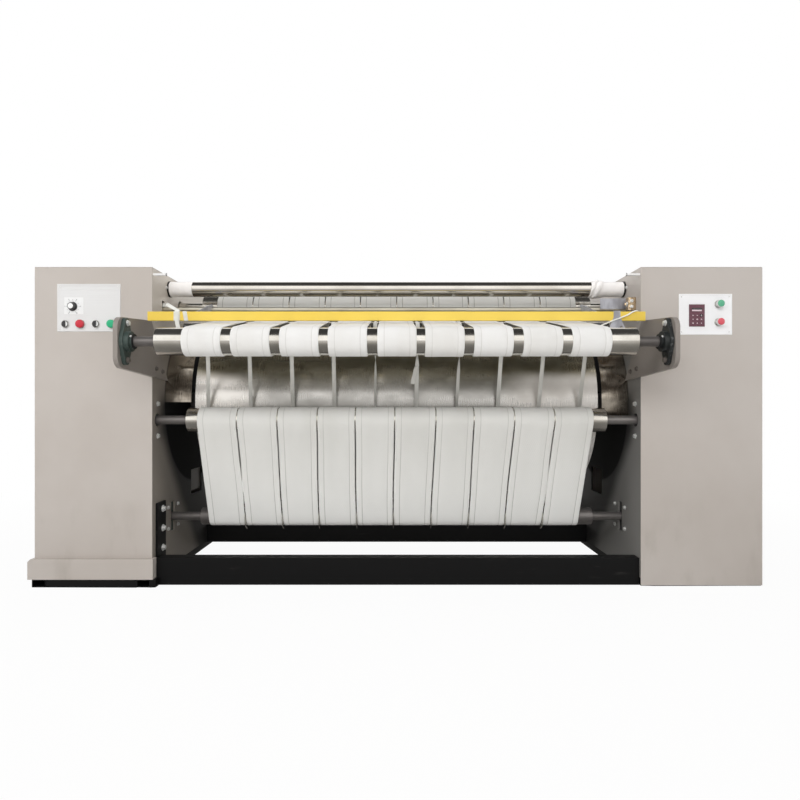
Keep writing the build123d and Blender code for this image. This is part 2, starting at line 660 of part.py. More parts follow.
roller_bearings.append(
    rod(PIVOT_Y, PIVOT_Z, pivot_outer, PLATE_OUT, PLATE_OUT + pivot_long, PIVOT_RADIUS + RUN)
)
node("roller_bearings", both_sides(roller_bearings))


def roller(y, z, radius):
    """A driven or idle roller: its tube and its shaft."""
    tube = roller_tube(y, z, radius, ROLLER_HALF, ROLLER_WALL, SHAFT_RADIUS)
    shaft = rod(y, z, SHAFT_RADIUS, -shaft_end, shaft_end)
    return tube, shaft


for name, y, z, radius in (
    ("feed_roller", FEED_Y, FEED_Z, ROLLER_RADIUS),
    ("delivery_roller", DELIVERY_Y, DELIVERY_Z, ROLLER_RADIUS),
    ("lower_roller", LOWER_Y, LOWER_Z, LOWER_RADIUS),
):
    tube, shaft = roller(y, z, radius)
    if name == "feed_roller":
        feed_end = arm_inner_x + FEED_SHAFT_OUT
        shaft = rod(y, z, SHAFT_RADIUS, -feed_end, feed_end)
    node(name + "_tube", [tube])
    node(name + "_shaft", [shaft])
for name, y, z in (
    ("transfer_roller", TRANSFER_Y, TRANSFER_Z),
    ("nip_roller", NIP_Y, NIP_Z),
    ("rear_lower_roller", BACK_Y, REAR_LOW_Z),
    ("rear_upper_roller", BACK_Y, REAR_HIGH_Z),
):
    node(name, roller(y, z, ROLLER_RADIUS))

belt_pitch = IRONING_BELT_WIDTH + IRONING_BELT_GAP
disc_places = band_places(IRONING_BELTS - 1, belt_pitch)
node(
    "lower_guide_discs",
    [
        rod(LOWER_Y, LOWER_Z, LOWER_DISC_RADIUS, x - LOWER_DISC / 2, x + LOWER_DISC / 2, LOWER_RADIUS + SEAT)
        for x in disc_places
    ],
)
under_sleeve = GUIDE_RADIUS - GUIDE_SLEEVE
guide_tube = roller_tube(GUIDE_Y, GUIDE_Z, under_sleeve, GUIDE_SLEEVE_END, ROLLER_WALL, GUIDE_SHAFT)
guide_tube += rod(GUIDE_Y, GUIDE_Z, GUIDE_RADIUS, -GUIDE_BRIGHT, GUIDE_BRIGHT, under_sleeve)
guide_shaft = rod(GUIDE_Y, GUIDE_Z, GUIDE_SHAFT, -shaft_end, shaft_end)
node("guide_roller", [guide_tube, guide_shaft])
sleeve = rod(GUIDE_Y, GUIDE_Z, GUIDE_RADIUS, GUIDE_BRIGHT, GUIDE_SLEEVE_END, under_sleeve + SEAT)
node("guide_sleeves", both_sides([sleeve]))

# ---------------------------------------------------------------- belts and tapes
on_roller = ROLLER_RADIUS + SEAT
on_lower = LOWER_RADIUS + SEAT
over_tapes = DRUM_RADIUS + SEAT + TAPE + SEAT + RUN
feed_run = [(FEED_Y, FEED_Z, on_roller), (TRANSFER_Y, TRANSFER_Z, on_roller)]
tape_run = [(TRANSFER_Y, TRANSFER_Z, on_roller), (DRUM_Y, DRUM_Z, DRUM_RADIUS + SEAT)]
ironing_run = [
    (DELIVERY_Y, DELIVERY_Z, on_roller),
    (LOWER_Y, LOWER_Z, on_lower),
    (BACK_Y, REAR_LOW_Z, on_roller),
    (BACK_Y, REAR_HIGH_Z, on_roller),
    (NIP_Y, NIP_Z, on_roller),
    (DRUM_Y, DRUM_Z, -(over_tapes + BELT)),
]
node(
    "feed_belts",
    [endless_band(feed_run, BELT, x, FEED_BELT_WIDTH) for x in band_places(FEED_BELTS, TAPE_PITCH)],
)
node(
    "guide_tapes",
    [endless_band(tape_run, TAPE, x, TAPE_WIDTH) for x in band_places(TAPES, TAPE_PITCH)],
)
node(
    "ironing_belts",
    [endless_band(ironing_run, BELT, x, IRONING_BELT_WIDTH) for x in band_places(IRONING_BELTS, belt_pitch)],
)

# ---------------------------------------------------------------- drum
node("drum_shell", [rod(DRUM_Y, DRUM_Z, DRUM_RADIUS, -DRUM_HALF, DRUM_HALF, DRUM_RADIUS - DRUM_WALL)])
disc_x = DRUM_HALF - END_DISC_INSET
end_disc = rod(
    DRUM_Y, DRUM_Z, DRUM_RADIUS - DRUM_WALL - SEAT, disc_x - END_DISC, disc_x, JOURNAL_RADIUS + SEAT
)
for hole_at in PolarLocations(END_DISC_CIRCLE, END_DISC_HOLES):
    place = hole_at.position
    end_disc -= rod(DRUM_Y + place.X, DRUM_Z + place.Y, END_DISC_HOLE / 2, disc_x - END_DISC, disc_x)
node("drum_end_discs", both_sides([end_disc]))
journal = rod(
    DRUM_Y, DRUM_Z, JOURNAL_RADIUS, disc_x - END_DISC - HUB_LENGTH, PLATE_OUT + JOURNAL_OUT, JOURNAL_BORE
)
journal += rod(DRUM_Y, DRUM_Z, HUB_RADIUS, disc_x - END_DISC - HUB_LENGTH, disc_x - END_DISC, JOURNAL_BORE)
node("drum_journals", both_sides([journal]))

housing_side, housing_corner, housing_thick = DRUM_HOUSING
boss_radius, boss_long = DRUM_BOSS
housing = Pos(DRUM_Y, DRUM_Z) * RectangleRounded(housing_side, housing_side, housing_corner)
drum_bearing = prism(housing, PLATE_OUT, PLATE_OUT + housing_thick)
drum_bearing += rod(DRUM_Y, DRUM_Z, boss_radius, PLATE_OUT, PLATE_OUT + boss_long)
drum_bearing -= rod(DRUM_Y, DRUM_Z, JOURNAL_RADIUS + RUN, PLATE_OUT, PLATE_OUT + boss_long)
node("drum_bearings", both_sides([drum_bearing]))


def drum_guard(side, bottom_z):
    """Polished sheet that closes the drum's end against the side plate."""
    start = radians(GUARD_TOP_ANGLE)
    end = pi + asin((DRUM_Z - bottom_z) / DRUM_RADIUS)
    outer = DRUM_RADIUS + GUARD_SHEET

    def point(radius, angle):
        return (DRUM_Y + radius * cos(angle), DRUM_Z + radius * sin(angle))

    middle = (start + end) / 2
    edges = [
        ThreePointArc(point(outer, start), point(outer, middle), point(outer, end)),
        Line(point(outer, end), point(DRUM_RADIUS, end)),
        ThreePointArc(point(DRUM_RADIUS, end), point(DRUM_RADIUS, middle), point(DRUM_RADIUS, start)),
        Line(point(DRUM_RADIUS, start), point(outer, start)),
    ]
    sheet = prism(Face(Wire(edges)), DRUM_HALF + GUARD_GAP, SIDE_X)
    notched = sheet - prism(offset(arm_face, SEAT), arm_inner_x - SEAT, SIDE_X)
    return notched if side > 0 else mirrored(notched)


node("drum_guards", [drum_guard(-1, GUARD_LEFT_BOTTOM), drum_guard(1, GUARD_RIGHT_BOTTOM)])


# ---------------------------------------------------------------- drive in the left cabinet
def sprocket(y, z, teeth, bore):
    """Chain wheel with one tooth for each link, centred on the chain's plane."""
    pitch_radius = CHAIN_PITCH / (2 * sin(pi / teeth))
    root = pitch_radius - TOOTH_ROOT
    tip = pitch_radius + TOOTH_TIP
    wheel = Circle(root) - Circle(bore)
    half_root, half_tip = (width / 2 for width in TOOTH_WIDTHS)
    sunk = root - TOOTH_SUNK
    tooth = make_face(
        Polyline((sunk, -half_root), (tip, -half_tip), (tip, half_tip), (sunk, half_root), close=True)
    )
    for i in range(teeth):
        wheel += Rot(0, 0, 360 * i / teeth) * tooth
    return prism(Pos(y, z) * wheel, CHAIN_X - SPROCKET_THICK / 2, CHAIN_X + SPROCKET_THICK / 2)


drum_sprocket = sprocket(DRUM_Y, DRUM_Z, DRUM_TEETH, JOURNAL_RADIUS + SEAT)
node("drum_sprocket", [drum_sprocket])
node("drive_sprocket", [sprocket(DRIVE_Y, DRIVE_Z, DRIVE_TEETH, DRIVE_SHAFT + RUN)])
chain_run = [
    (DRUM_Y, DRUM_Z, CHAIN_PITCH / (2 * sin(pi / DRUM_TEETH)) - CHAIN_HEIGHT / 2),
    (DRIVE_Y, DRIVE_Z, CHAIN_PITCH / (2 * sin(pi / DRIVE_TEETH)) - CHAIN_HEIGHT / 2),
]
chain_gap = SPROCKET_THICK / 2 + SEAT + CHAIN_PLATE / 2
node(
    "drive_chain",
    [endless_band(chain_run, CHAIN_HEIGHT, CHAIN_X + side * chain_gap, CHAIN_PLATE) for side in (-1, 1)],
)

gearbox_x = CHAIN_X - SPROCKET_THICK / 2 - GEARBOX_GAP
gear_w, gear_d, gear_h = GEARBOX
gear_boss, gear_boss_long = GEARBOX_BOSS
gearbox = block(
    gearbox_x - gear_w, gearbox_x, DRIVE_Y - gear_d / 2, DRIVE_Y + gear_d / 2,
    DRIVE_Z - gear_h / 2, DRIVE_Z + gear_h / 2,
)
gearbox = chamfer(gearbox.edges().filter_by(Axis.X), GEARBOX_BEVEL)
gearbox += rod(DRIVE_Y, DRIVE_Z, gear_boss, gearbox_x, gearbox_x + gear_boss_long)
gearbox += rod(DRIVE_Y, DRIVE_Z, DRIVE_SHAFT, gearbox_x, CHAIN_X + SPROCKET_THICK / 2 + DRIVE_SHAFT_OUT)
motor_x = gearbox_x - gear_w / 2
motor_z = DRIVE_Z + MOTOR_RISE
motor_y = DRIVE_Y + gear_d / 2
motor = peg(motor_x, motor_z, MOTOR_CORE, motor_y, motor_y + MOTOR_LENGTH)
for i in range(MOTOR_FINS):
    fin_y = motor_y + i * MOTOR_LENGTH / MOTOR_FINS
    motor += peg(motor_x, motor_z, MOTOR_RADIUS, fin_y, fin_y + MOTOR_LENGTH / MOTOR_FINS / 2)
node("gearmotor", [gearbox, motor])
mount_top = DRIVE_Z - gear_h / 2
mount_y0 = DRIVE_Y - gear_d / 2
mount_y1 = DRIVE_Y + gear_d / 2
mount = block(LEFT_X + LIP, -PLATE_OUT, mount_y0, mount_y1, BASE_HEIGHT, BASE_HEIGHT + MOUNT_PLATE)
mount += block(gearbox_x - gear_w, gearbox_x, mount_y0, mount_y1, mount_top - MOUNT_PLATE, mount_top)
for web_x in (gearbox_x - gear_w, gearbox_x - MOUNT_WEB):
    mount += block(web_x, web_x + MOUNT_WEB, mount_y0, mount_y1, BASE_HEIGHT, mount_top)
node("motor_mount", [mount])

# ---------------------------------------------------------------- heater, held still in the drum
post_x = PLATE_OUT + JOURNAL_OUT + HANGER_GAP
heater_end = post_x + HEATER_BAR + HEATER_OUT
heater_half = disc_x - END_DISC - HUB_LENGTH - HEATER_CLEAR
spider_places = band_places(HEATER_SPIDERS, heater_half)
spider_wide, spider_thick = HEATER_SPIDER
heater = rod(DRUM_Y, DRUM_Z, HEATER_TUBE, -heater_end, heater_end)
rod_seats = [Rot(0, 0, 360 * i / HEATER_RODS) * Pos(HEATER_RING, 0) for i in range(HEATER_RODS)]
for x in spider_places:
    spider = Circle(HEATER_TUBE + HEATER_EYE)
    for i in range(HEATER_RODS):
        arm_long = HEATER_RING + spider_wide / 2
        spider_arm = Pos(arm_long / 2, 0) * Rectangle(arm_long, spider_wide)
        spider += Rot(0, 0, 360 * i / HEATER_RODS) * spider_arm
    heater += prism(Pos(DRUM_Y, DRUM_Z) * spider, x - spider_thick / 2, x + spider_thick / 2)
for seat in rod_seats:
    y, z = seat.position.X, seat.position.Y
    heater += rod(DRUM_Y + y, DRUM_Z + z, HEATER_ROD, -heater_half, heater_half)
hanger = block(
    PLATE_OUT, post_x, DRUM_Y - HEATER_BAR / 2, DRUM_Y + HEATER_BAR / 2,
    DRUM_Z - HEATER_DROP, DRUM_Z - HEATER_DROP + HEATER_BAR,
)
hanger += block(
    post_x, post_x + HEATER_BAR, DRUM_Y - HEATER_BAR / 2, DRUM_Y + HEATER_BAR / 2,
    DRUM_Z - HEATER_DROP, DRUM_Z + HEATER_TUBE + HEATER_EYE,
)
hanger += rod(DRUM_Y, DRUM_Z, HEATER_TUBE + HEATER_EYE, post_x, post_x + HEATER_BAR)
hanger -= rod(DRUM_Y, DRUM_Z, HEATER_TUBE + SEAT, post_x, post_x + HEATER_BAR)
node("heater", [heater] + both_sides([hanger]))

# ---------------------------------------------------------------- finger guard
bar = block(
    -BAR_LENGTH / 2, BAR_LENGTH / 2, BAR_Y - BAR_THICK / 2, BAR_Y + BAR_THICK / 2,
    BAR_Z - BAR_HEIGHT / 2, BAR_Z + BAR_HEIGHT / 2,
)
bar -= block(
    -BAR_LENGTH / 2, BAR_LENGTH / 2, BAR_Y - BAR_THICK / 2 + BAR_WALL, BAR_Y + BAR_THICK / 2 - BAR_WALL,
    BAR_Z - BAR_HEIGHT / 2 + BAR_WALL, BAR_Z + BAR_HEIGHT / 2 - BAR_WALL,
)
node("guard_bar", [bar])
rod_end = PLATE_OUT + PIVOT_OUT
node("guard_rod", [rod(PIVOT_Y, PIVOT_Z, PIVOT_RADIUS, -rod_end, rod_end)])
link_back = BAR_Y + BAR_THICK / 2
link_face = make_hull(
    (
        Pos(PIVOT_Y, PIVOT_Z) * Circle(PIVOT_RADIUS + LINK_EYE)
        + Pos(link_back + LINK_FOOT[1] / 2, BAR_Z) * Rectangle(LINK_FOOT[1], LINK_HEIGHT)
    ).edges()
)
link_face -= Pos(PIVOT_Y, PIVOT_Z) * Circle(PIVOT_RADIUS + SEAT)
link = prism(link_face, LINK_X - LINK_THICK / 2, LINK_X + LINK_THICK / 2)
link_inner = LINK_X - LINK_THICK / 2
foot = block(
    link_inner - LINK_FOOT[0], link_inner, link_back, link_back + LINK_FOOT[1],
    BAR_Z - LINK_HEIGHT / 2, BAR_Z + LINK_HEIGHT / 2,
)
collar_wall, collar_length = LINK_COLLAR
collar_outer = PIVOT_RADIUS + collar_wall
collar = rod(PIVOT_Y, PIVOT_Z, collar_outer, LINK_X, LINK_X + collar_length, PIVOT_RADIUS + SEAT)


def band_round_bar(x, width, thick):
    """One loop close round the bar."""
    y0, y1 = BAR_Y - BAR_THICK / 2 - SEAT, BAR_Y + BAR_THICK / 2 + SEAT
    z0, z1 = BAR_Z - BAR_HEIGHT / 2 - SEAT, BAR_Z + BAR_HEIGHT / 2 + SEAT
    loop = block(x - width / 2, x + width / 2, y0 - thick, y1 + thick, z0 - thick, z1 + thick)
    return loop - block(x - width / 2, x + width / 2, y0, y1, z0, z1)


node("guard_ties", [band_round_bar(x, width, STRAP_THICK) for x, width in STRAPS])

# The hook grips the bar, and its tab widens below it. The flat lever lies on the rod, and
# reaches to the switch on the side plate.
hook_x, hook_width, hook_thick = HOOK
tab_width, tab_drop = HOOK_TAB
beside, above, hole_radius = HOOK_HOLE
bar_foot = BAR_Z - BAR_HEIGHT / 2
tab_outline = Polyline(
    (hook_x - hook_width / 2, bar_foot + hook_width / 2),
    (hook_x - tab_width / 2, bar_foot - tab_drop),
    (hook_x + tab_width / 2, bar_foot - tab_drop),
    (hook_x + hook_width / 2, bar_foot + hook_width / 2),
    close=True,
)
tab_front = BAR_Y - BAR_THICK / 2 - SEAT - hook_thick
tab_plane = Plane(origin=(0, tab_front, 0), x_dir=(1, 0, 0), z_dir=(0, -1, 0))
tab = extrude(tab_plane * make_face(tab_outline), hook_thick, dir=(0, 1, 0))
tab -= peg(hook_x + beside, bar_foot - tab_drop + above, hole_radius, tab_front, tab_front + hook_thick)
hook = band_round_bar(hook_x, hook_width, hook_thick) + tab
lever_from, lever_to, lever_tall, lever_thick = LEVER
lever_back = PIVOT_Y - PIVOT_RADIUS - SEAT
lever = block(lever_from, lever_to, lever_back - lever_thick, lever_back, PIVOT_Z, PIVOT_Z + lever_tall)
node("guard_arms", both_sides([link + foot + collar]) + [hook, lever])

# ---------------------------------------------------------------- guard switch on the right side plate
switch_y = FRONT + SWITCH_DEPTH
switch_out, switch_wide, switch_tall = SWITCH_BOX
switch = block(
    SIDE_X - switch_out, SIDE_X, switch_y - switch_wide / 2, switch_y + switch_wide / 2,
    SWITCH_Z - switch_tall / 2, SWITCH_Z + switch_tall / 2,
)
switch = fillet(switch.edges().filter_by(Axis.X), SWITCH_ROUND)
switch += block(
    SIDE_X - switch_out - SWITCH_NOSE, SIDE_X - switch_out, switch_y - SWITCH_NOSE / 2,
    switch_y + SWITCH_NOSE / 2, SWITCH_Z - SWITCH_NOSE / 2, SWITCH_Z + SWITCH_NOSE / 2,
)
node("guard_switch", [switch])

# ---------------------------------------------------------------- control panels
def plate_on_front(area, back, thickness, holes, bore):
    """A flat plate of the given area whose back face stands `back` in front of the cabinet."""
    x0, x1, z0, z1 = area
    plate = block(x0, x1, FRONT - back - thickness, FRONT - back, z0, z1)
    for hole_x, hole_z in holes:
        plate -= peg(hole_x, hole_z, bore, FRONT - back - thickness, FRONT - back)
    return plate


stem_hole = STEM_RADIUS + SEAT
node("left_control_panel", [plate_on_front(LEFT_PANEL, 0, PANEL, left_controls, stem_hole)])
node("right_control_panel", [plate_on_front(RIGHT_PANEL, 0, PANEL, right_controls, stem_hole)])
node("dial_plate", [plate_on_front(DIAL, PANEL, DIAL_SHEET, [KNOB_XZ], stem_hole)])

keypad = plate_on_front(KEYPAD, PANEL, KEYPAD_THICK, [], 0)
key_face = FRONT - PANEL - KEYPAD_THICK
pad_x = (KEYPAD[0] + KEYPAD[1]) / 2
for row in range(KEY_ROWS):
    for x in band_places(KEY_COLUMNS, KEY_PITCH[0]):
        key_x = pad_x + x
        key_z = KEYPAD[2] + KEYPAD_EDGE + KEY_SIZE[1] / 2 + row * KEY_PITCH[1]
        keypad += block(
            key_x - KEY_SIZE[0] / 2, key_x + KEY_SIZE[0] / 2, key_face - KEY_RISE, key_face,
            key_z - KEY_SIZE[1] / 2, key_z + KEY_SIZE[1] / 2,
        )
display_z = KEYPAD[3] - KEYPAD_EDGE - DISPLAY_HEIGHT
keypad += block(
    KEYPAD[0] + KEYPAD_EDGE, KEYPAD[1] - KEYPAD_EDGE, key_face - KEY_RISE, key_face,
    display_z, display_z + DISPLAY_HEIGHT,
)
node("keypad", [keypad])

panel_face = FRONT - PANEL
collars = []
switch_w, switch_h, switch_d = SWITCH_BODY
for places, radius in (
    (left_selectors, SELECTOR_RADIUS),
    (left_buttons, LEFT_BUTTON),
    (right_controls, RIGHT_BUTTON),
):
    for x, z in places:
        collars.append(peg(x, z, radius + BEZEL, panel_face - COLLAR_HEIGHT, panel_face, radius + SEAT))
for x, z in left_controls + right_controls:
    body_y = FRONT + SHEET
    body = block(
        x - switch_w / 2, x + switch_w / 2, body_y, body_y + switch_d, z - switch_h / 2, z + switch_h / 2
    )
    collars.append(body - peg(x, z, stem_hole, body_y, body_y + switch_d - SWITCH_END))
node("control_collars", collars)


def button(x, z, radius, cap):
    """A push button at rest: its cap ends one travel in front of the panel."""
    back = panel_face - TRAVEL - CAP_BACK
    shape = peg(x, z, radius, panel_face - COLLAR_HEIGHT - cap, back)
    shape = chamfer(shape.edges().filter_by(GeomType.CIRCLE).group_by(Axis.Y)[0], CAP_EDGE)
    return shape + peg(x, z, STEM_RADIUS, back, FRONT + STEM_IN)


def selector(x, z):
    """A rotary selector: a disc with a raised grip, on its stem."""
    back = panel_face - SEAT
    face = panel_face - COLLAR_HEIGHT - SELECTOR_PROUD
    grip_wide, grip_long, grip_high = SELECTOR_GRIP
    knob = peg(x, z, SELECTOR_RADIUS, face, back) + peg(x, z, STEM_RADIUS, back, FRONT + STEM_IN)
    return knob + block(
        x - grip_wide / 2, x + grip_wide / 2, face - grip_high, face, z - grip_long / 2, z + grip_long / 2
    )


node("left_selector", [selector(SELECTOR_X[0], CONTROL_Z)])
node("right_selector", [selector(SELECTOR_X[1], CONTROL_Z)])
node("left_stop_button", [button(LEFT_STOP_X, CONTROL_Z, LEFT_BUTTON, LEFT_CAP)])
node("left_start_button", [button(LEFT_START_X, CONTROL_Z, LEFT_BUTTON, LEFT_CAP)])
node("right_start_button", [button(RIGHT_BUTTON_X, RIGHT_START_Z, RIGHT_BUTTON, RIGHT_CAP)])
node("right_stop_button", [button(RIGHT_BUTTON_X, RIGHT_STOP_Z, RIGHT_BUTTON, RIGHT_CAP)])
knob_back = FRONT - PANEL - DIAL_SHEET - SEAT
knob_x, knob_z = KNOB_XZ
speed_knob = peg(knob_x, knob_z, KNOB_RADIUS, knob_back - KNOB_SKIRT, knob_back)
speed_knob += peg(knob_x, knob_z, KNOB_GRIP, knob_back - KNOB_HEIGHT, knob_back - KNOB_SKIRT)
speed_knob += peg(knob_x, knob_z, STEM_RADIUS, knob_back, FRONT + STEM_IN)
node("speed_knob", [speed_knob])

# ---------------------------------------------------------------- bolts and pins on the side plates
for forward, up in ARM_BOLTS:
    bolts.append(hex_head(arm_inner_x, ARM_LOW[0] + forward, ARM_LOW[1] + up, *ARM_BOLT, 1))
bolts.append(rod(FRONT + PIN_DEPTH, PIN_Z, PIN_RADIUS, SIDE_X - PIN_LENGTH, SIDE_X))
fasteners = both_sides(bolts)
washer_radius, washer_thick = BRACKET_WASHER
for bolt_z in BRACKET_BOLTS:
    bolt_y = FRONT + BRACKET_BOLT_DEPTH
    washer_x = -SIDE_X + BRACKET_THICK
    fasteners.append(rod(bolt_y, bolt_z, washer_radius, washer_x, washer_x + washer_thick))
    fasteners.append(hex_head(washer_x + washer_thick, bolt_y, bolt_z, *BRACKET_BOLT, -1))
node("side_fasteners", fasteners)

# ---------------------------------------------------------------- export
for name, solids in nodes.items():
    export_step(Compound(solids), f"parts/{name}.step")
print(len(nodes), "nodes,", sum(len(s) for s in nodes.values()), "solids")
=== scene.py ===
"""Belt-type flatwork ironer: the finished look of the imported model, seen from its feeding side."""
import math
import random

import bmesh
import bpy
from mathutils import Matrix, Vector, noise


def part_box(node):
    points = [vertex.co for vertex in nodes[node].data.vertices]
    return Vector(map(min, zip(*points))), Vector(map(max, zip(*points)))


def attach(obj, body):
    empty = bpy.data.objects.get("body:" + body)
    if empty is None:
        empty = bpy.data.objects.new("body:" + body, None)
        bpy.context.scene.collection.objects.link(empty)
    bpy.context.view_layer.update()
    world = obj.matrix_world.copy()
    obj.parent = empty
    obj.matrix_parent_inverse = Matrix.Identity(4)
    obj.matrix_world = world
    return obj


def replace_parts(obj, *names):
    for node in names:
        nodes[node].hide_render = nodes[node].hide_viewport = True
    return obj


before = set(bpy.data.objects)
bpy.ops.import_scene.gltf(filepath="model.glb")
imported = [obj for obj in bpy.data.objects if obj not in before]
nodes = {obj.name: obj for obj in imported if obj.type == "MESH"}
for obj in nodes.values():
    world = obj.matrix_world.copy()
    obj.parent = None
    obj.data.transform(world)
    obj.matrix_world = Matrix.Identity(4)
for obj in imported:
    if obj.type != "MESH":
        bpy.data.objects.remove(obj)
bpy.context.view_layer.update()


# ---------------------------------------------------------------- the room
# The machine stands on a pale floor that runs off into white. One broad soft lamp shines from
# the front and above, as over the machine in a workshop, and weaker ones fill the other sides.
def tint(red, green, blue):
    """A screen colour, 0 to 255, as the linear colour that a shader takes."""
    channels = [c / 255 for c in (red, green, blue)]
    return tuple(c / 12.92 if c < 0.04 else ((c + 0.055) / 1.055) ** 2.4 for c in channels) + (1.0,)


class Flow:
    """A value, place or colour that runs through a shader, and can be reckoned with."""

    def __init__(self, socket):
        self.socket = socket
        self.tree = socket.id_data

    def __add__(self, other):
        return reckon("ADD", self, other)

    def __sub__(self, other):
        return reckon("SUBTRACT", self, other)

    def __rsub__(self, other):
        return reckon("SUBTRACT", other, self)

    def __mul__(self, other):
        return reckon("MULTIPLY", self, other)


def shader_node(tree, kind, inputs=(), **settings):
    """Add a node; inputs maps a socket's name or number to a value or a flow."""
    made = tree.nodes.new("ShaderNode" + kind)
    for key, value in settings.items():
        setattr(made, key, value)
    for key, value in dict(inputs).items():
        if isinstance(value, Flow):
            tree.links.new(value.socket, made.inputs[key])
        else:
            made.inputs[key].default_value = value
    return made


def flow_from(tree, kind, inputs=(), output=0, **settings):
    """Add a node and take one of its outputs."""
    return Flow(shader_node(tree, kind, inputs, **settings).outputs[output])


def reckon(operation, first, second=0.0):
    """One sum, product or other operation on two values, at least one of them a flow."""
    tree = first.tree if isinstance(first, Flow) else second.tree
    return flow_from(tree, "Math", {0: first, 1: second}, operation=operation)


def mixed(mask, low, high):
    """A colour that goes from low to high, as the mask goes from 0 to 1."""
    low, high = [end if isinstance(end, Flow) else tint(*end) for end in (low, high)]
    return flow_from(mask.tree, "Mix", {0: mask, 6: low, 7: high}, 2, data_type="RGBA")


def ranged(value, start, stop, low=0.0, high=1.0):
    """The value from start to stop, eased and carried over to low to high."""
    ends = {"Value": value, "From Min": start, "From Max": stop, "To Min": low, "To Max": high}
    return flow_from(value.tree, "MapRange", ends, interpolation_type="SMOOTHSTEP")


def xyz(place):
    """The three parts of a place."""
    return [Flow(part) for part in shader_node(place.tree, "SeparateXYZ", {0: place}).outputs]


def new_material(name, colour=(200, 200, 200), roughness=0.5, metallic=0.0, **sockets):
    """A material with its shader's plain values set; returns the material, its shader and the
    place of a point on the piece."""
    material = bpy.data.materials.new(name)
    material.use_nodes = True
    shader = material.node_tree.nodes["Principled BSDF"]
    sockets.update(Base_Color=tint(*colour), Roughness=roughness, Metallic=metallic)
    for key, value in sockets.items():
        shader.inputs[key.replace("_", " ")].default_value = value
    return material, shader, flow_from(material.node_tree, "TexCoord", output="Object")


def in_scene(name, data):
    """Put a mesh, lamp or camera into the scene."""
    thing = bpy.data.objects.new(name, data)
    bpy.context.scene.collection.objects.link(thing)
    return thing


FLOOR_HALF = 9.0
FLOOR_DROP = 0.0004
SHADOW_REACH = (2.0, 4.2)     # the floor keeps the machine's shadow inside this distance
FLOOR_SHARE = 0.95            # of the floor's white that is its own, so that a shadow shows
METAL_REACH = (0.6, 6.5)      # distances from the middle, close by and far off
FLOOR_IN_METAL = (0.18, 0.62)  # how bright polished metal sees the floor there

floor_mesh = bpy.data.meshes.new("floor")
floor_corners = [(x * FLOOR_HALF, y * FLOOR_HALF, -FLOOR_DROP) for x, y in ((-1, -1), (1, -1), (1, 1), (-1, 1))]
floor_mesh.from_pydata(floor_corners, [], [(0, 1, 2, 3)])
floor = in_scene("floor", floor_mesh)

floor_paint, shader, place = new_material("pale_floor", (232, 231, 229), 0.6)
tree = floor_paint.node_tree
away = flow_from(tree, "VectorMath", {0: place}, "Value", operation="LENGTH")
ray = shader_node(tree, "LightPath").outputs
seen = ranged(away, *SHADOW_REACH, FLOOR_SHARE, 1.0) * Flow(ray["Is Camera Ray"])
glow = flow_from(tree, "Emission", {"Color": (1, 1, 1, 1), "Strength": 1.0})
both = flow_from(tree, "MixShader", {0: seen, 1: Flow(shader.outputs[0]), 2: glow})
mirrored = ranged(away, *METAL_REACH, *FLOOR_IN_METAL)
dim = flow_from(tree, "Emission", {"Color": (1.0, 0.97, 0.92, 1), "Strength": mirrored})
any_ray = flow_from(tree, "MixShader", {0: Flow(ray["Is Glossy Ray"]), 1: both, 2: dim})
tree.links.new(any_ray.socket, tree.nodes["Material Output"].inputs["Surface"])
floor_mesh.materials.append(floor_paint)

REFLECTED_LEVELS = (          # what polished metal sees, from straight down to straight up
    (0.00, 0.24), (0.34, 0.30), (0.44, 0.46), (0.50, 0.74), (0.54, 1.30), (0.655, 1.35),
    (0.67, 0.85), (0.685, 1.35), (0.84, 1.30), (0.875, 0.10), (1.00, 0.05),
)
world = bpy.data.worlds.new("white_studio")
bpy.context.scene.world = world
world.use_nodes = True
tree = world.node_tree
tree.nodes.clear()
height = xyz(flow_from(tree, "TexCoord", output="Generated"))[2] * 0.5 + 0.5
reflected = shader_node(tree, "ValToRGB", {0: height})
ramp = reflected.color_ramp
for _ in REFLECTED_LEVELS[2:]:
    ramp.elements.new(0.5)
for stop, (at, level) in zip(ramp.elements, REFLECTED_LEVELS):
    stop.position = at
    stop.color = (level, level * 0.985, level * 0.96, 1)
camera_sky, polished_sky, dull_sky = [
    flow_from(tree, "Background", {"Color": colour, "Strength": strength})
    for colour, strength in (((1, 1, 1, 1), 1.0), (Flow(reflected.outputs[0]), 1.0), ((1.0, 0.985, 0.97, 1), 0.10))
]
ray = shader_node(tree, "LightPath").outputs
for_metal = flow_from(tree, "MixShader", {0: Flow(ray["Is Glossy Ray"]), 1: dull_sky, 2: polished_sky})
any_ray = flow_from(tree, "MixShader", {0: Flow(ray["Is Camera Ray"]), 1: for_metal, 2: camera_sky})
shader_node(tree, "OutputWorld", {"Surface": any_ray})

LAMPS = (                     # name, place, width, height, watts
    ("front_lamp", (-0.9, -4.9, 3.5), 5.6, 1.7, 172),
    ("low_lamp", (0.0, -4.8, 0.9), 5.0, 0.9, 40),
    ("top_lamp", (0.0, 0.0, 4.6), 5.0, 3.0, 76),
    ("left_lamp", (-5.2, -1.0, 2.4), 3.0, 2.5, 48),
    ("right_lamp", (5.2, -1.0, 2.4), 3.0, 2.5, 34),
    ("rear_lamp", (0.0, 5.0, 2.8), 5.0, 2.4, 130),
)
LIT_HEIGHT = 0.7              # at which the lamps point
for name, place, width, height, watts in LAMPS:
    lamp_data = bpy.data.lights.new(name, "AREA")
    lamp_data.shape = "RECTANGLE"
    lamp_data.size, lamp_data.size_y, lamp_data.energy = width, height, watts
    lamp = in_scene(name, lamp_data)
    lamp.location = place
    lamp.rotation_euler = (Vector((0, 0, LIT_HEIGHT)) - Vector(place)).to_track_quat("-Z", "Y").to_euler()
    lamp.visible_glossy = False

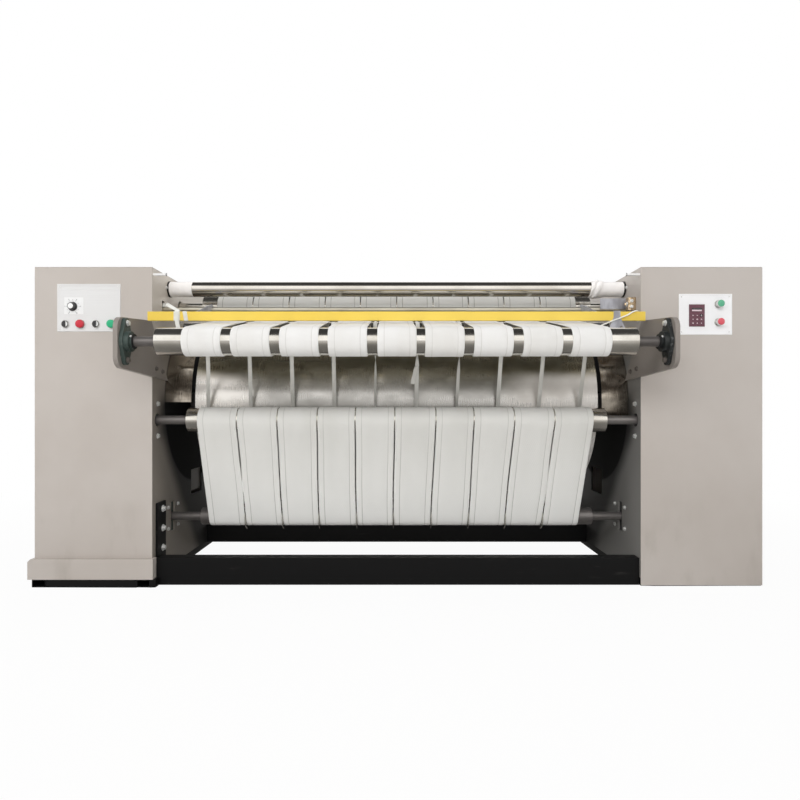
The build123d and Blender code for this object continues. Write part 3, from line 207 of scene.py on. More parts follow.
# The camera stands level, at the height of the control panels, square to the cabinets' fronts.
CAMERA_AWAY = 2.632           # from the fronts of the cabinets
CAMERA_HEIGHT = 0.781
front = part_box("left_front_cover")[0].y
camera_data = bpy.data.cameras.new("feeding_side")
camera_data.lens, camera_data.sensor_width = 27, 36
camera_data.shift_x, camera_data.shift_y = 0.004375, 0.01
camera = in_scene("feeding_side", camera_data)
camera.location = (0, front - CAMERA_AWAY, CAMERA_HEIGHT)
camera.rotation_euler = (math.radians(90), 0, 0)
bpy.context.scene.camera = camera
bpy.context.scene.view_settings.view_transform = "Standard"


# ---------------------------------------------------------------- cabinets
# Two end cabinets of folded sheet steel on 8 mm side plates, sprayed in a warm grey. The folds
# have a small radius, and the paint is slightly clouded, with an orange-peel skin.
def effect_group(name, values, outputs, make):
    """A node group that takes a place and some values, and puts out what make returns."""
    group = bpy.data.node_groups.new(name, "ShaderNodeTree")
    group.interface.new_socket("Place", in_out="INPUT", socket_type="NodeSocketVector")
    for label, value in values.items():
        group.interface.new_socket(label, in_out="INPUT", socket_type="NodeSocketFloat").default_value = value
    for label in outputs:
        group.interface.new_socket(label, in_out="OUTPUT", socket_type="NodeSocketFloat")
    start, end = group.nodes.new("NodeGroupInput"), group.nodes.new("NodeGroupOutput")
    flows = make(*[Flow(socket) for socket in start.outputs if socket.name])
    for label, flow in zip(outputs, flows):
        group.links.new(flow.socket, end.inputs[label])
    return group


def effect(group, place, **values):
    """Use a node group in the material that the place comes from; returns its outputs by name."""
    made = shader_node(place.tree, "Group", {"Place": place, **values}, node_tree=group)
    return {socket.name: Flow(socket) for socket in made.outputs}


def cloud(place, scale, detail=3.0, stretch=(1, 1, 1)):
    """Soft noise, from 0 to 1, drawn out along the axes by stretch."""
    spread = flow_from(place.tree, "VectorMath", {0: place, 1: stretch}, operation="MULTIPLY")
    return flow_from(place.tree, "TexNoise", {"Vector": spread, "Scale": scale, "Detail": detail}, "Fac")


def feed(shader, **flows):
    """Link flows to a shader's sockets."""
    for key, flow in flows.items():
        flow.tree.links.new(flow.socket, shader.inputs[key.replace("_", " ")])


def bumped(shader, height, strength, distance):
    """Raise the skin of a material by a height from 0 to 1."""
    bump = {"Height": height, "Strength": strength, "Distance": distance}
    feed(shader, Normal=flow_from(height.tree, "Bump", bump))


def spray(place):
    """Clouds in the paint, its orange peel, and smudges near the floor."""
    smudge = ranged(cloud(place, 9.0, 6.0, (1, 1, 0.4)), 0.48, 0.75)
    return ranged(cloud(place, 1.7, 4.0), 0.3, 0.7), cloud(place, 260.0, 2.0), ranged(xyz(place)[2], 0.5, 0.03) * smudge


sprayed = effect_group("sprayed_paint", {}, ("Cloud", "Peel", "Dirt"), spray)


def paint(name, clean, clouded, dirty, roughness, dirt_share=0.5, peel=0.25):
    """Sprayed paint: two close tones in clouds, an orange-peel skin and dirt near the floor."""
    material, shader, where = new_material(name, roughness=roughness)
    skin = effect(sprayed, where)
    tone = mixed(skin["Dirt"] * dirt_share, mixed(skin["Cloud"], clean, clouded), dirty)
    feed(shader, Base_Color=tone, Roughness=ranged(skin["Cloud"], 0, 1, roughness, roughness + 0.08))
    bumped(shader, skin["Peel"], peel, 0.0004)
    return material


def softened(node, width, material, body="frame", angle=35, segments=2):
    """Stand in for a CAD piece with a copy whose edges are folded or cast with a small radius."""
    mesh = nodes[node].data.copy()
    shape = bmesh.new()
    shape.from_mesh(mesh)
    bmesh.ops.remove_doubles(shape, verts=shape.verts, dist=1e-5)
    bmesh.ops.dissolve_limit(shape, angle_limit=math.radians(1), verts=shape.verts, edges=shape.edges)
    shape.to_mesh(mesh)
    shape.free()
    mesh.name = node + "_formed"
    mesh.materials.clear()
    mesh.materials.append(material)
    for face in mesh.polygons:
        face.use_smooth = True
        face.material_index = 0
    mesh.set_sharp_from_angle(angle=math.radians(angle))
    piece = in_scene(node + "_formed", mesh)
    edge = piece.modifiers.new("rounded_edges", "BEVEL")
    edge.width = width
    edge.segments = segments
    edge.limit_method = "ANGLE"
    edge.angle_limit = math.radians(angle)
    edge.harden_normals = True
    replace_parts(piece, node)
    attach(piece, body)


def finish_node(node, material):
    """Give a CAD piece its finish."""
    for slot in nodes[node].material_slots:
        slot.material = material


def new_piece(name, shape, material, body, sharp=35):
    """Turn a finished mesh into a piece that moves with a body."""
    bmesh.ops.recalc_face_normals(shape, faces=shape.faces)
    mesh = bpy.data.meshes.new(name)
    shape.to_mesh(mesh)
    shape.free()
    mesh.materials.append(material)
    for face in mesh.polygons:
        face.use_smooth = True
    mesh.set_sharp_from_angle(angle=math.radians(sharp))
    piece = in_scene(name, mesh)
    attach(piece, body)
    return piece


def block(shape, low, high):
    """Add a box between two corners; returns its points."""
    made = bmesh.ops.create_cube(shape, size=1.0)["verts"]
    low, high = Vector(low), Vector(high)
    bmesh.ops.scale(shape, vec=high - low, verts=made)
    bmesh.ops.translate(shape, vec=(low + high) / 2, verts=made)
    return made


def middle_of(node):
    """(y, z, radius) of a round CAD piece whose axis runs across the machine."""
    low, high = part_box(node)
    return (low.y + high.y) / 2, (low.z + high.z) / 2, (high.z - low.z) / 2


cabinet_paint = paint("cabinet_paint", (197, 190, 184), (187, 179, 172), (158, 151, 142), 0.42, 0.6)
FOLD_RADIUS = 0.0022
for name in ("left_front_cover", "right_front_cover", "outer_covers", "rear_covers", "top_covers"):
    softened(name, FOLD_RADIUS, cabinet_paint)

PAINTED_SHADOW_LEVEL = 0.67             # above this height the painted shadow starts straight behind the plate's front edge
PAINTED_SHADOW_SLOPE = 0.78             # below it, the painted shadow starts deeper, in proportion
GAP_SHADE_REACH = (0.418, 0.394)  # from the drum's axis; inside it a plate is painted black, as painted shade in the gap round the drum
GAP_SHADE_TONE = (9, 9, 9)


def plate_finish(name, pale, front_tone, shadowed_tone):
    """Side plate paint with light and shade painted in: painted light makes it pale above the bed, painted shade
    darkens it further back, a painted shadow blackens it behind the line where the belts hang, and painted shade
    blackens it round the drum's ends."""
    material, shader, where = new_material(name, roughness=0.5)
    skin = effect(sprayed, where)
    _, y, z = xyz(where)
    drum_y, drum_z, _ = middle_of("drum_shell")
    deep = y + cloud(where, 5.0, 4.0) * 0.05 - front
    below = reckon("MAXIMUM", PAINTED_SHADOW_LEVEL - z, 0.0)
    # painted shadow: the apron's shadow, painted black behind a slanted line
    painted_shadow = ranged(deep - below * PAINTED_SHADOW_SLOPE, 0.05, 0.19) * ranged(z, 0.90, 0.78)
    # painted shade: black where the plate shows through the gap round the drum's end
    aside, raised = y - drum_y, z - drum_z
    gap_shade = ranged(aside * aside + raised * raised, GAP_SHADE_REACH[0] ** 2, GAP_SHADE_REACH[1] ** 2)
    dark_tone = [c * 0.8 for c in front_tone]
    # painted light makes the plate pale above the bed, and painted shade darkens it further back
    tone = mixed(ranged(z, 1.02, 1.24), mixed(ranged(deep, 0.0, 0.5), front_tone, dark_tone), pale)
    tone = mixed(painted_shadow, mixed(skin["Cloud"] * 0.25, tone, dark_tone), shadowed_tone)
    blur = reckon("MAXIMUM", ranged(painted_shadow, 0, 1, 0.46, 0.62), gap_shade)
    feed(shader, Base_Color=mixed(gap_shade, tone, GAP_SHADE_TONE), Roughness=blur)
    bumped(shader, skin["Peel"], 0.25, 0.0004)
    return material


# The right plate's tones are darker than the left's: painted shade on the right side.
finish_node("left_side_plate", plate_finish("left_plate_paint", (230, 221, 209), (154, 146, 137), (44, 43, 42)))
finish_node("right_side_plate", plate_finish("right_plate_paint", (204, 196, 189), (138, 136, 133), (40, 39, 39)))

# A loose sheet closes the window of the left plate from behind.
(y0, y1), (z0, z1) = (0.136, 0.360), (0.345, 0.488)
BEHIND = (-0.00195, -0.00045)      # its two faces, from the plate's outer face
plate_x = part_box("left_side_plate")[0].x
shape = bmesh.new()
block(shape, (plate_x + BEHIND[0], y0, z0), (plate_x + BEHIND[1], y1, z1))
sheet_paint = paint("window_sheet_paint", (132, 128, 124), (112, 108, 104), (90, 86, 82), 0.5, 0.6)
new_piece("left_window_sheet", shape, sheet_paint, "frame")
softened("left_skirt", 0.0028, cabinet_paint)


# ---------------------------------------------------------------- base, beams and corner bracket
# Welded box sections under the cabinets and two beams across the bed carry the machine. They
# are sprayed satin black, and boots and trolleys have scuffed the front beam.
def scuff(place, amount):
    """Scuffs, more of them as the amount rises."""
    worn = cloud(place, 14.0, 8.0, (0.35, 1.0, 2.2)) * 0.65 + cloud(place, 3.0, 3.0) * 0.35
    return [ranged(worn - (0.72 - amount * 0.2), 0.0, 0.12)]


scuffed = effect_group("scuffs", {"Amount": 0.5}, ("Scuff",), scuff)


def worn_paint(name, colour, bare, roughness, amount, **sockets):
    """Dark paint with scuffs that show the paler primer or metal under it."""
    material, shader, where = new_material(name, roughness=roughness, **sockets)
    wear = effect(scuffed, where, Amount=amount)["Scuff"]
    feed(shader, Base_Color=mixed(wear, colour, bare), Roughness=ranged(wear, 0, 1, roughness, roughness + 0.2))
    bumped(shader, effect(sprayed, where)["Peel"], 0.25, 0.0004)
    return material


black_paint = worn_paint("black_paint", (11, 11, 12), (56, 54, 52), 0.52, 0.55, Specular_IOR_Level=0.25)
for name, radius in (("base_frames", 0.003), ("front_beam", 0.005), ("rear_beam", 0.005), ("corner_bracket", 0.001)):
    softened(name, radius, black_paint)


# ---------------------------------------------------------------- feed arms and their bearings
# Two 8 mm arms reach out in front of the side plates, each with a folded rim. An oval cast
# flange bearing is bolted on each and holds the feed roller's shaft.
def islands(node):
    """The lowest and highest corner of each separate solid of a CAD piece, from left to right."""
    shape = bmesh.new()
    shape.from_mesh(nodes[node].data)
    bmesh.ops.remove_doubles(shape, verts=shape.verts, dist=1e-6)
    left = set(shape.verts)
    found = []
    while left:
        reached, solid = [left.pop()], []
        while reached:
            vert = reached.pop()
            solid.append(vert.co.copy())
            for edge in vert.link_edges:
                other = edge.other_vert(vert)
                if other in left:
                    left.remove(other)
                    reached.append(other)
        found.append([Vector([pick(c[i] for c in solid) for i in range(3)]) for pick in (min, max)])
    shape.free()
    return sorted(found, key=lambda ends: tuple(round(c, 4) for c in ends[0]))


def turned(shape, profile, place, segments=32):
    """Add a turned form to a mesh. The profile is a row of (radius, height) points."""
    rings = []
    for radius, height in profile:
        angles = [2 * math.pi * k / segments for k in range(1 if radius < 1e-6 else segments)]
        ring = [Vector((radius * math.cos(a), radius * math.sin(a), height)) for a in angles]
        rings.append([shape.verts.new(place @ point) for point in ring])
    for lower, upper in zip(rings, rings[1:]):
        for k in range(segments):
            corners = [lower[k % len(lower)], lower[(k + 1) % len(lower)]]
            corners += [upper[(k + 1) % len(upper)], upper[k % len(upper)]]
            corners = list(dict.fromkeys(corners))
            if len(corners) > 2:
                shape.faces.new(corners)


def facing(place, direction):
    """A matrix that puts a turned form at a place, with its axis along x, y or z, or against it."""
    quarters, axis = {"+x": (1, "Y"), "-x": (-1, "Y"), "+y": (-1, "X"), "-y": (1, "X"), "+z": (0, "X")}[direction]
    return Matrix.Translation(Vector(place)) @ Matrix.Rotation(quarters * math.pi / 2, 4, axis)


def hex_bolt(shape, seat, direction, across, height, washer=1.18):
    """Add a washer and a chamfered hexagon head that stands on its seat."""
    place = facing(seat, direction)
    radius, thin = across / 2, height * 0.22
    wide = radius * washer
    turned(shape, [(0, 0), (wide, 0), (wide, thin * 0.8), (wide * 0.94, thin), (0, thin)], place)
    head = [(0, thin), (radius, thin), (radius, height * 0.86), (radius * 0.84, height), (0, height)]
    turned(shape, head, place @ Matrix.Rotation(math.pi / 6, 4, "Z"), 6)


arm_paint = paint("arm_paint", (150, 143, 137), (136, 129, 123), (104, 99, 93), 0.38, 0.4)
softened("feed_arms", 0.0016, arm_paint)

casting, shader, where = new_material("bearing_casting", roughness=0.45, metallic=0.1)
rub = ranged(cloud(where, 60.0, 4.0), 0.58, 0.7)
# The right bearing is painted darker than the left: painted shade on the right side.
primed, shaded_right = mixed(rub, (62, 74, 70), (96, 104, 100)), mixed(rub, (34, 37, 37), (78, 80, 80))
feed(shader, Base_Color=mixed(ranged(xyz(where)[0], -0.2, 0.2), primed, shaded_right))
bumped(shader, cloud(where, 420.0, 3.0), 0.5, 0.0006)
softened("feed_bearings", 0.0014, casting)
finish_node("roller_bearings", casting)
finish_node("drum_bearings", casting)

zinc, shader, where = new_material("bright_zinc", roughness=0.3, metallic=0.6)
spangle = cloud(where, 320.0, 2.0)
tone = mixed(spangle, (222, 222, 222), (246, 245, 242))
feed(shader, Base_Color=tone, Roughness=ranged(spangle, 0.3, 0.7, 0.24, 0.4))
black_rubber, shader, where = new_material("black_seal", (22, 22, 23), 0.6)
bumped(shader, cloud(where, 500.0), 0.3, 0.0003)

HOUSING_LEAST = 0.1           # height; a lower solid is the insert of a bearing
SEAL_WIDTH = 0.004
SCREW_RADIUS = 0.0045
SET_SCREWS = ((-0.72, 0.7), (0.95, 0.25))    # to the back and up from the shaft's axis, in shares
SCREW_OUT = 1.28              # of their distance from the axis, in shaft radii
seals, screws = bmesh.new(), bmesh.new()
radius = middle_of("feed_roller_shaft")[2]
for low, high in islands("feed_bearings"):
    if high.z - low.z > HOUSING_LEAST:
        continue
    side = 1 if low.x > 0 else -1
    middle = Vector((low.x if side > 0 else high.x, (low.y + high.y) / 2, (low.z + high.z) / 2))
    lip = [(1.02, 0), (1.5, 0), (1.5, 0.002), (1.25, 0.0035), (1.02, 0.0035)]
    face = facing(middle + Vector((side * 0.0005, 0, 0)), "-x" if side > 0 else "+x")
    turned(seals, [(radius * share, height) for share, height in lip], face)
    for back, up in SET_SCREWS:
        seat = middle + Vector((side * SEAL_WIDTH * 1.4, back * radius * SCREW_OUT, up * radius * SCREW_OUT))
        hex_bolt(screws, seat, "-y" if back < 0 else "+z", 2 * SCREW_RADIUS, SCREW_RADIUS * 1.3, 1.0)
new_piece("feed_bearing_seals", seals, black_rubber, "frame")
new_piece("feed_bearing_screws", screws, zinc, "frame")


# ---------------------------------------------------------------- bolts and stub pins
# Bright zinc hexagon bolts hold the bearings, the arms and the corner bracket, each on a washer.
# A turned steel stub pin stands out of each side plate near its top front corner.
PIN_LEAST = 0.03              # length; a shorter fastener is a bolt
ROUND_LEAST = 0.0315          # width from which a fastener has a round head
ARM_BOLTS = (0.88, 1.0)       # heights between which the bolts hold the feed arms, painted with them
bolts, painted_bolts, pins, pin_rings = [bmesh.new() for _ in range(4)]
for low, high in islands("side_fasteners"):
    long = high.x - low.x
    across = min(high.y - low.y, high.z - low.z)
    centre = (low + high) / 2
    direction = "-x" if centre.x > 0 else "+x"
    seat = Vector((high.x if centre.x > 0 else low.x, centre.y, centre.z))
    place, radius = facing(seat, direction), across / 2
    if long > PIN_LEAST:
        pin = [(0, 0), (1, 0), (1, 0.9), (0.75, 0.9), (0.75, 0.94), (1, 0.95), (1, 0.985), (0.8, 1), (0, 1)]
        ring = [(1.02, 0.93), (1.25, 0.935), (1.25, 0.965), (1.02, 0.97)]
        for shape, profile in ((pins, pin), (pin_rings, ring)):
            turned(shape, [(radius * wide, long * up) for wide, up in profile], place)
    elif high.y - low.y > ROUND_LEAST:
        turned(bolts, [(0, 0), (radius, 0), (radius, long * 0.75), (radius * 0.96, long), (0, long)], place)
    else:
        hex_bolt(painted_bolts if ARM_BOLTS[0] < centre.z < ARM_BOLTS[1] else bolts, seat, direction, across, long)
bolt_paint = worn_paint("bolt_paint", (92, 86, 81), (156, 151, 146), 0.5, 0.6)
new_piece("arm_bolts", painted_bolts, bolt_paint, "frame")
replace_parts(new_piece("side_bolts", bolts, zinc, "frame"), "side_fasteners")
pin_steel, shader, where = new_material("turned_pin_steel", (250, 250, 250), 0.3, 0.25)
bumped(shader, cloud(where, 1.0, 3.0, (900.0, 9.0, 9.0)), 0.1, 0.0002)
new_piece("stub_pins", pins, pin_steel, "frame")
new_piece("stub_pin_rings", pin_rings, black_rubber, "frame")

# The outer and rear covers are held by button-head screws along their edges. A service lid of
# thin sheet, with its own screws, closes the opening in each outer cover.
LID_EDGE = (0.17, 0.17, 0.30, 0.16)       # from the cover's front, rear, foot and top to the lid
LID_THICK = 0.0014
LID_CORNER = 0.03             # radius of its corners, and the screws' distance from its edges
SCREW_IN = 0.022              # from the side edge of a cover to its screws
OUTER_FIRST, REAR_FIRST = 0.06, 0.07         # from a cover's foot and top to the nearest screw
cover_screws, lids = bmesh.new(), bmesh.new()


def evenly(start, stop, count):
    """Places at equal steps, with both ends."""
    return [start + (stop - start) * k / (count - 1) for k in range(count)]


def button_head(seat, direction, radius=0.0058):
    """Add a low domed screw head with a sunk drive in it."""
    profile = [(0, 0), (1, 0), (1, 0.16), (0.86, 0.4), (0.6, 0.56), (0.36, 0.6), (0.3, 0.3), (0, 0.26)]
    turned(cover_screws, [(radius * wide, radius * up) for wide, up in profile], facing(seat, direction), 24)


for low, high in islands("outer_covers"):
    side = 1 if low.x > 0 else -1
    face, direction = (high.x, "+x") if side > 0 else (low.x, "-x")
    for height in evenly(low.z + OUTER_FIRST, high.z - OUTER_FIRST, 5):
        for depth in (low.y + SCREW_IN, high.y - SCREW_IN):
            button_head((face, depth, height), direction)
    y0, y1, z0, z1 = low.y + LID_EDGE[0], high.y - LID_EDGE[1], low.z + LID_EDGE[2], high.z - LID_EDGE[3]
    made = block(lids, (min(face, face + side * LID_THICK), y0, z0), (max(face, face + side * LID_THICK), y1, z1))
    upright = [edge for edge in lids.edges
               if edge.verts[0] in made and abs(edge.verts[0].co.x - edge.verts[1].co.x) > LID_THICK / 2]
    bmesh.ops.bevel(lids, geom=upright, offset=LID_CORNER, segments=6, affect="EDGES")
    for depth in evenly(y0 + LID_CORNER, y1 - LID_CORNER, 3):
        for height in (z0 + LID_CORNER, z1 - LID_CORNER):
            button_head((face + side * LID_THICK, depth, height), direction, 0.005)
for low, high in islands("rear_covers"):
    for height in evenly(low.z + REAR_FIRST, high.z - REAR_FIRST, 4):
        for across in (low.x + SCREW_IN, high.x - SCREW_IN):
            button_head((across, high.y, height), "+y")
new_piece("cover_screws", cover_screws, zinc, "frame")
new_piece("service_lids", lids, cabinet_paint, "frame")


# ---------------------------------------------------------------- rollers
# Ground stainless tubes on dark steel shafts carry the belts. The grinding runs round each
# tube, so that its marks are fine rings, and the top guide tube is polished brighter.
ground = effect_group("ground_metal", {"Rings": 900.0}, ("Ring", "Stain"), lambda place, rings: (
    cloud(place, rings, 4.0, (1.0, 0.02, 0.02)), ranged(cloud(place, 5.0, 5.0, (1.0, 1.6, 1.6)), 0.35, 0.7)
))


def ground_steel(name, bright, dull, roughness, stained=0.08, rings=900.0, metallic=1.0):
    """Metal ground round its axis, with fine rings and soft stains that dull it."""
    material, shader, where = new_material(name, roughness=roughness, metallic=metallic)
    marks = effect(ground, where, Rings=rings)
    blur = ranged(marks["Ring"], 0.3, 0.7, 0, 0.06) + roughness + ranged(marks["Stain"], 0, 1, 0, stained)
    feed(shader, Base_Color=mixed(marks["Stain"], bright, dull), Roughness=blur)
    bumped(shader, marks["Ring"], 0.12, 0.0002)
    return material


stainless = ground_steel("ground_stainless", (226, 223, 217), (204, 200, 192), 0.12)
bright_tube = ground_steel("polished_tube", (222, 218, 212), (205, 200, 192), 0.09, 0.05)
dark_steel = ground_steel("dark_shaft_steel", (130, 126, 124), (102, 98, 96), 0.3, 0.12, 500.0, 0.6)
for name in ("transfer_roller", "nip_roller", "rear_lower_roller", "rear_upper_roller"):
    finish_node(name, stainless)
for name in ("feed_roller_shaft", "delivery_roller_shaft", "lower_roller_shaft", "drum_journals"):
    finish_node(name, dark_steel)
finish_node("guide_roller", bright_tube)
finish_node("lower_guide_discs", stainless)

# Each front tube is rolled sheet, closed by an end plate that is sunk a little inside its rim,
# and a little more round the shaft.
TUBE_SET_IN = 0.0158          # by which the finished tube is shorter at each end
BORE_PLAY = 0.0003
PLATE_SUNK, SHAFT_SUNK = 0.003, 0.006
for name, skin in (("feed_roller", stainless), ("delivery_roller", stainless), ("lower_roller", dark_steel)):
    low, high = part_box(name + "_tube")
    y, z, radius = middle_of(name + "_tube")
    bore = middle_of(name + "_shaft")[2] + BORE_PLAY
    long = high.x - low.x - 2 * TUBE_SET_IN
    end = [
        (bore, 0), (bore, SHAFT_SUNK), (bore + 0.008, SHAFT_SUNK), (bore + 0.009, PLATE_SUNK),
        (radius - 0.007, PLATE_SUNK), (radius - 0.006, 0), (radius - 0.0012, 0), (radius, 0.0012),
    ]
    profile = end + [(out, long - along) for out, along in reversed(end)] + end[:1]
    shape = bmesh.new()
    turned(shape, profile, facing((low.x + TUBE_SET_IN, y, z), "+x"), 96)
    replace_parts(new_piece(name + "_tube_finished", shape, skin, name, 30), name + "_tube")


# ---------------------------------------------------------------- drum
# A ground and polished steel cylinder, heated from inside. Its face is finely ringed by the grinding and clouded brown
# and pale by heat and wax.
# Painted shade darkens and browns the faces that turn up, and a painted reflection brightens the lower faces towards
# its ends, more on the right. Polished end sheets close it in.
HIGHLIGHT_MIDDLE = 0.06           # the painted end highlights centre a little left of the middle
HIGHLIGHT_EDGE = (0.50, 0.72)     # distances from there, over which the painted highlight comes in
drum_steel, shader, where = new_material("drum_face", roughness=0.2, metallic=0.9)
ring = effect(ground, where, Rings=1300.0)["Ring"]
x = xyz(where)[0]
along = reckon("ABSOLUTE", x + HIGHLIGHT_MIDDLE)
normal = flow_from(where.tree, "NewGeometry", output="Normal")
turned_up = xyz(normal)[2] + cloud(where, 3.0, 3.0) * 0.08
upturned_shade = ranged(turned_up, 0.14, 0.42)      # painted shade: the face is painted darker and browner, the more it is turned up
# painted reflection: the lower faces towards both ends are painted brighter
end_highlight = ranged(along, *HIGHLIGHT_EDGE) * ranged(turned_up, 0.43, 0.28)
smears = ranged(cloud(where, 2.4, 5.0, (0.5, 3.2, 3.2)), 0.34, 0.68)
patches = ranged(cloud(where, 7.0, 3.0, (1.0, 1.4, 1.4)), 0.35, 0.7)
heat = smears * 0.6 + patches * 0.4
middle_tone = mixed(upturned_shade, mixed(heat, (206, 204, 201), (160, 158, 154)), mixed(heat, (186, 180, 162), (128, 123, 106)))
# the painted reflection is also made less metallic, more on the right, so that it shows brighter there
highlight_diffuse = end_highlight * ranged(x, -0.2, 0.2, 0.30, 0.62)
feed(
    shader, Base_Color=mixed(end_highlight, middle_tone, mixed(heat, (255, 252, 248), (214, 209, 203))),
    Roughness=ranged(heat, 0, 1, 0.22, 0.34) + ranged(ring, 0.25, 0.75, -0.03, 0.03), Metallic=0.95 - highlight_diffuse,
)
bumped(shader, cloud(where, 3.6, 2.0) + ring * 0.004, 0.2, 0.012)
finish_node("drum_shell", drum_steel)
# The end discs are painted near-black: painted shade in the gap between the drum and its end sheets.
finish_node("drum_end_discs", worn_paint("gap_shade_black", (5, 5, 5), (13, 12, 11), 0.9, 0.4))

guard_sheet, shader, where = new_material("drum_end_sheet", roughness=0.1, metallic=1.0)
ring = effect(ground, where, Rings=500.0)["Ring"]
clouds = ranged(cloud(where, 4.0, 4.0, (1.0, 2.4, 2.4)), 0.36, 0.66)
grain = ranged(ring, 0.25, 0.75, -0.12, 0.12)
tone = mixed(clouds + grain, (184, 176, 164), (88, 79, 70))
feed(shader, Base_Color=tone, Roughness=ranged(clouds, 0, 1, 0.1, 0.26) + grain)
bumped(shader, ring * 0.03 + cloud(where, 6.8, 2.0), 0.7, 0.012)
softened("drum_guards", 0.0005, guard_sheet, angle=50)


# ---------------------------------------------------------------- ironing belts
# Ten endless belts of thick woven cotton press the linen on the drum, and hang in front as an
# apron. A line of stitching runs along each side, and the edges wander a little.
def loop_path(wheels, step):
    """Points (y, z, outward y, outward z, free) round a closed run of wheels (y, z, radius).
    A wheel with a negative radius is passed on its far side. A free point touches no wheel."""
    headings = []
    for (y0, z0, r0), (y1, z1, r1) in zip(wheels, wheels[1:] + wheels[:1]):
        apart = math.hypot(y1 - y0, z1 - z0)
        headings.append(math.atan2(z1 - z0, y1 - y0) + math.asin((r0 - r1) / apart))
    arcs = []
    for i, (y, z, radius) in enumerate(wheels):
        turn = (headings[i] - headings[i - 1]) % (2 * math.pi)
        turn = turn if radius > 0 else turn - 2 * math.pi
        count = max(4, math.ceil(abs(turn * radius) / step))
        angles = [headings[i - 1] - math.pi / 2 + turn * k / count for k in range(count + 1)]
        around = [(math.cos(a), math.sin(a)) for a in angles]
        arcs.append([(y + radius * out_y, z + radius * out_z, out_y, out_z, 0.0) for out_y, out_z in around])
    path = []
    for arc, following in zip(arcs, arcs[1:] + arcs[:1]):
        path += arc
        y0, z0, out_y, out_z, _ = arc[-1]
        y1, z1 = following[0][:2]
        count = max(2, math.ceil(math.hypot(y1 - y0, z1 - z0) / step))
        for part in [k / count for k in range(1, count)]:
            path.append((y0 + (y1 - y0) * part, z0 + (z1 - z0) * part, out_y, out_z, math.sin(math.pi * part)))
    return path


def run_length(path):
    """Length of a closed path."""
    return sum(math.hypot(b[0] - a[0], b[1] - a[1]) for a, b in zip(path, path[1:] + path[:1]))


def skinned(shape, rings, ends):
    """Cover a run of rings of points with faces. Its ends are capped, or it closes on itself."""
    for ring, following in zip(rings, rings[1:] + (rings[:1] if ends == "closed" else [])):
        for k in range(len(ring)):
            n = (k + 1) % len(ring)
            shape.faces.new((ring[k], ring[n], following[n], following[k]))
    if ends == "capped":
        shape.faces.new(rings[0])
        shape.faces.new(rings[-1])


def belt(name, path, section, across, material, thick, billow, seed, lap):
    """An endless woven belt: section gives (place across, share of the thickness, mark) from
    edge to edge, across turns that place into x, and lap is the (start, length, height) of its
    overlapped join, as a share of the loop and in metres."""
    shape = bmesh.new()
    marks = shape.verts.layers.float.new("stitch")
    rings = []
    travelled = 0.0
    whole = run_length(path)
    for (y, z, out_y, out_z, free), following in zip(path, path[1:] + path[:1]):
        swell = billow * free * noise.noise(Vector((seed * 7.3, travelled * 3.1, 0.5)))
        lapped = lap[2] if lap[0] <= travelled / whole <= lap[0] + lap[1] / whole else 0.0
        inner, outer = [], []
        for place, height, mark in section:
            x = across(place, travelled, free, z)
            ripple = swell + billow * 0.35 * free * noise.noise(Vector((x * 9.0, travelled * 2.0, seed)))
            for row, rise in ((inner, ripple), (outer, ripple + thick * height + lapped)):
                row.append(shape.verts.new((x, y + out_y * rise, z + out_z * rise)))
            outer[-1][marks] = mark
        rings.append(outer + inner[::-1])
        travelled += math.hypot(following[0] - y, following[1] - z)
    skinned(shape, rings, "closed")
    return new_piece(name, shape, material, "frame", 60)


def weave(place, threads):
    """Crossed threads with fuzz over them, and faint soiling."""
    x, y, z = xyz(place)
    cross = reckon("SINE", x * threads) * reckon("SINE", (y + z) * threads)
    return cross * 0.35 + cloud(place, 260.0), ranged(cloud(place, 3.4, 5.0, (1.6, 1, 0.5)), 0.35, 0.75)


woven = effect_group("woven_cloth", {"Threads": 700.0}, ("Weave", "Soil"), weave)


def cloth(name, clean, soiled, threads=700.0, bump=0.5, stitch=(196, 195, 190), painted_light=0.0):
    """Woven cotton: a fine weave with fuzz, faint soiling, and thread colour on the stitching.
    The last argument is how much whiter the cloth is painted low down and high up at the nip, as painted light."""
    material, shader, where = new_material(
        name, roughness=0.85, Sheen_Weight=0.25, Sheen_Roughness=0.5, Specular_IOR_Level=0.2
    )
    yarn = effect(woven, where, Threads=threads)
    tone = mixed(yarn["Soil"], clean, soiled)
    if painted_light:
        # painted light: whiter low down on the apron and high up at the nip
        level = xyz(where)[2]
        clear = reckon("MAXIMUM", ranged(level, 0.80, 0.16), ranged(level, 1.20, 1.27))
        tone = mixed(clear * painted_light, tone, (252, 252, 249))
    sewn = flow_from(where.tree, "Attribute", output="Fac", attribute_name="stitch")
    feed(shader, Base_Color=mixed(sewn, tone, stitch))
    bumped(shader, yarn["Weave"], bump, 0.0008)
    return material


# The ironing belts are painted whiter low down and at the nip: painted light.
belt_cloth = cloth("ironing_belt_cloth", (218, 217, 213), (209, 208, 203), painted_light=0.8)

ON_METAL = 0.0004
DRUM_CLEAR = 0.0020           # the tapes lie between the belts and the drum
SHEET_STEP = 0.03
BELT_THICK = 0.0036
SEWN_IN = 0.026               # of the stitching, from the belt's edge
SEWN_HALF = 0.0007

belt_boxes = islands("ironing_belts")
delivery, lower = middle_of("delivery_roller_tube"), middle_of("lower_roller_tube")
rear_low, rear_high = middle_of("rear_lower_roller"), middle_of("rear_upper_roller")
nip, drum = middle_of("nip_roller"), middle_of("drum_shell")
wheels = [(y, z, r + ON_METAL) for y, z, r in (delivery, lower, rear_low, rear_high, nip)]
wheels.append((drum[0], drum[1], -(drum[2] + DRUM_CLEAR + BELT_THICK)))
apron_path = loop_path(wheels, SHEET_STEP)
apron_length = run_length(apron_path)


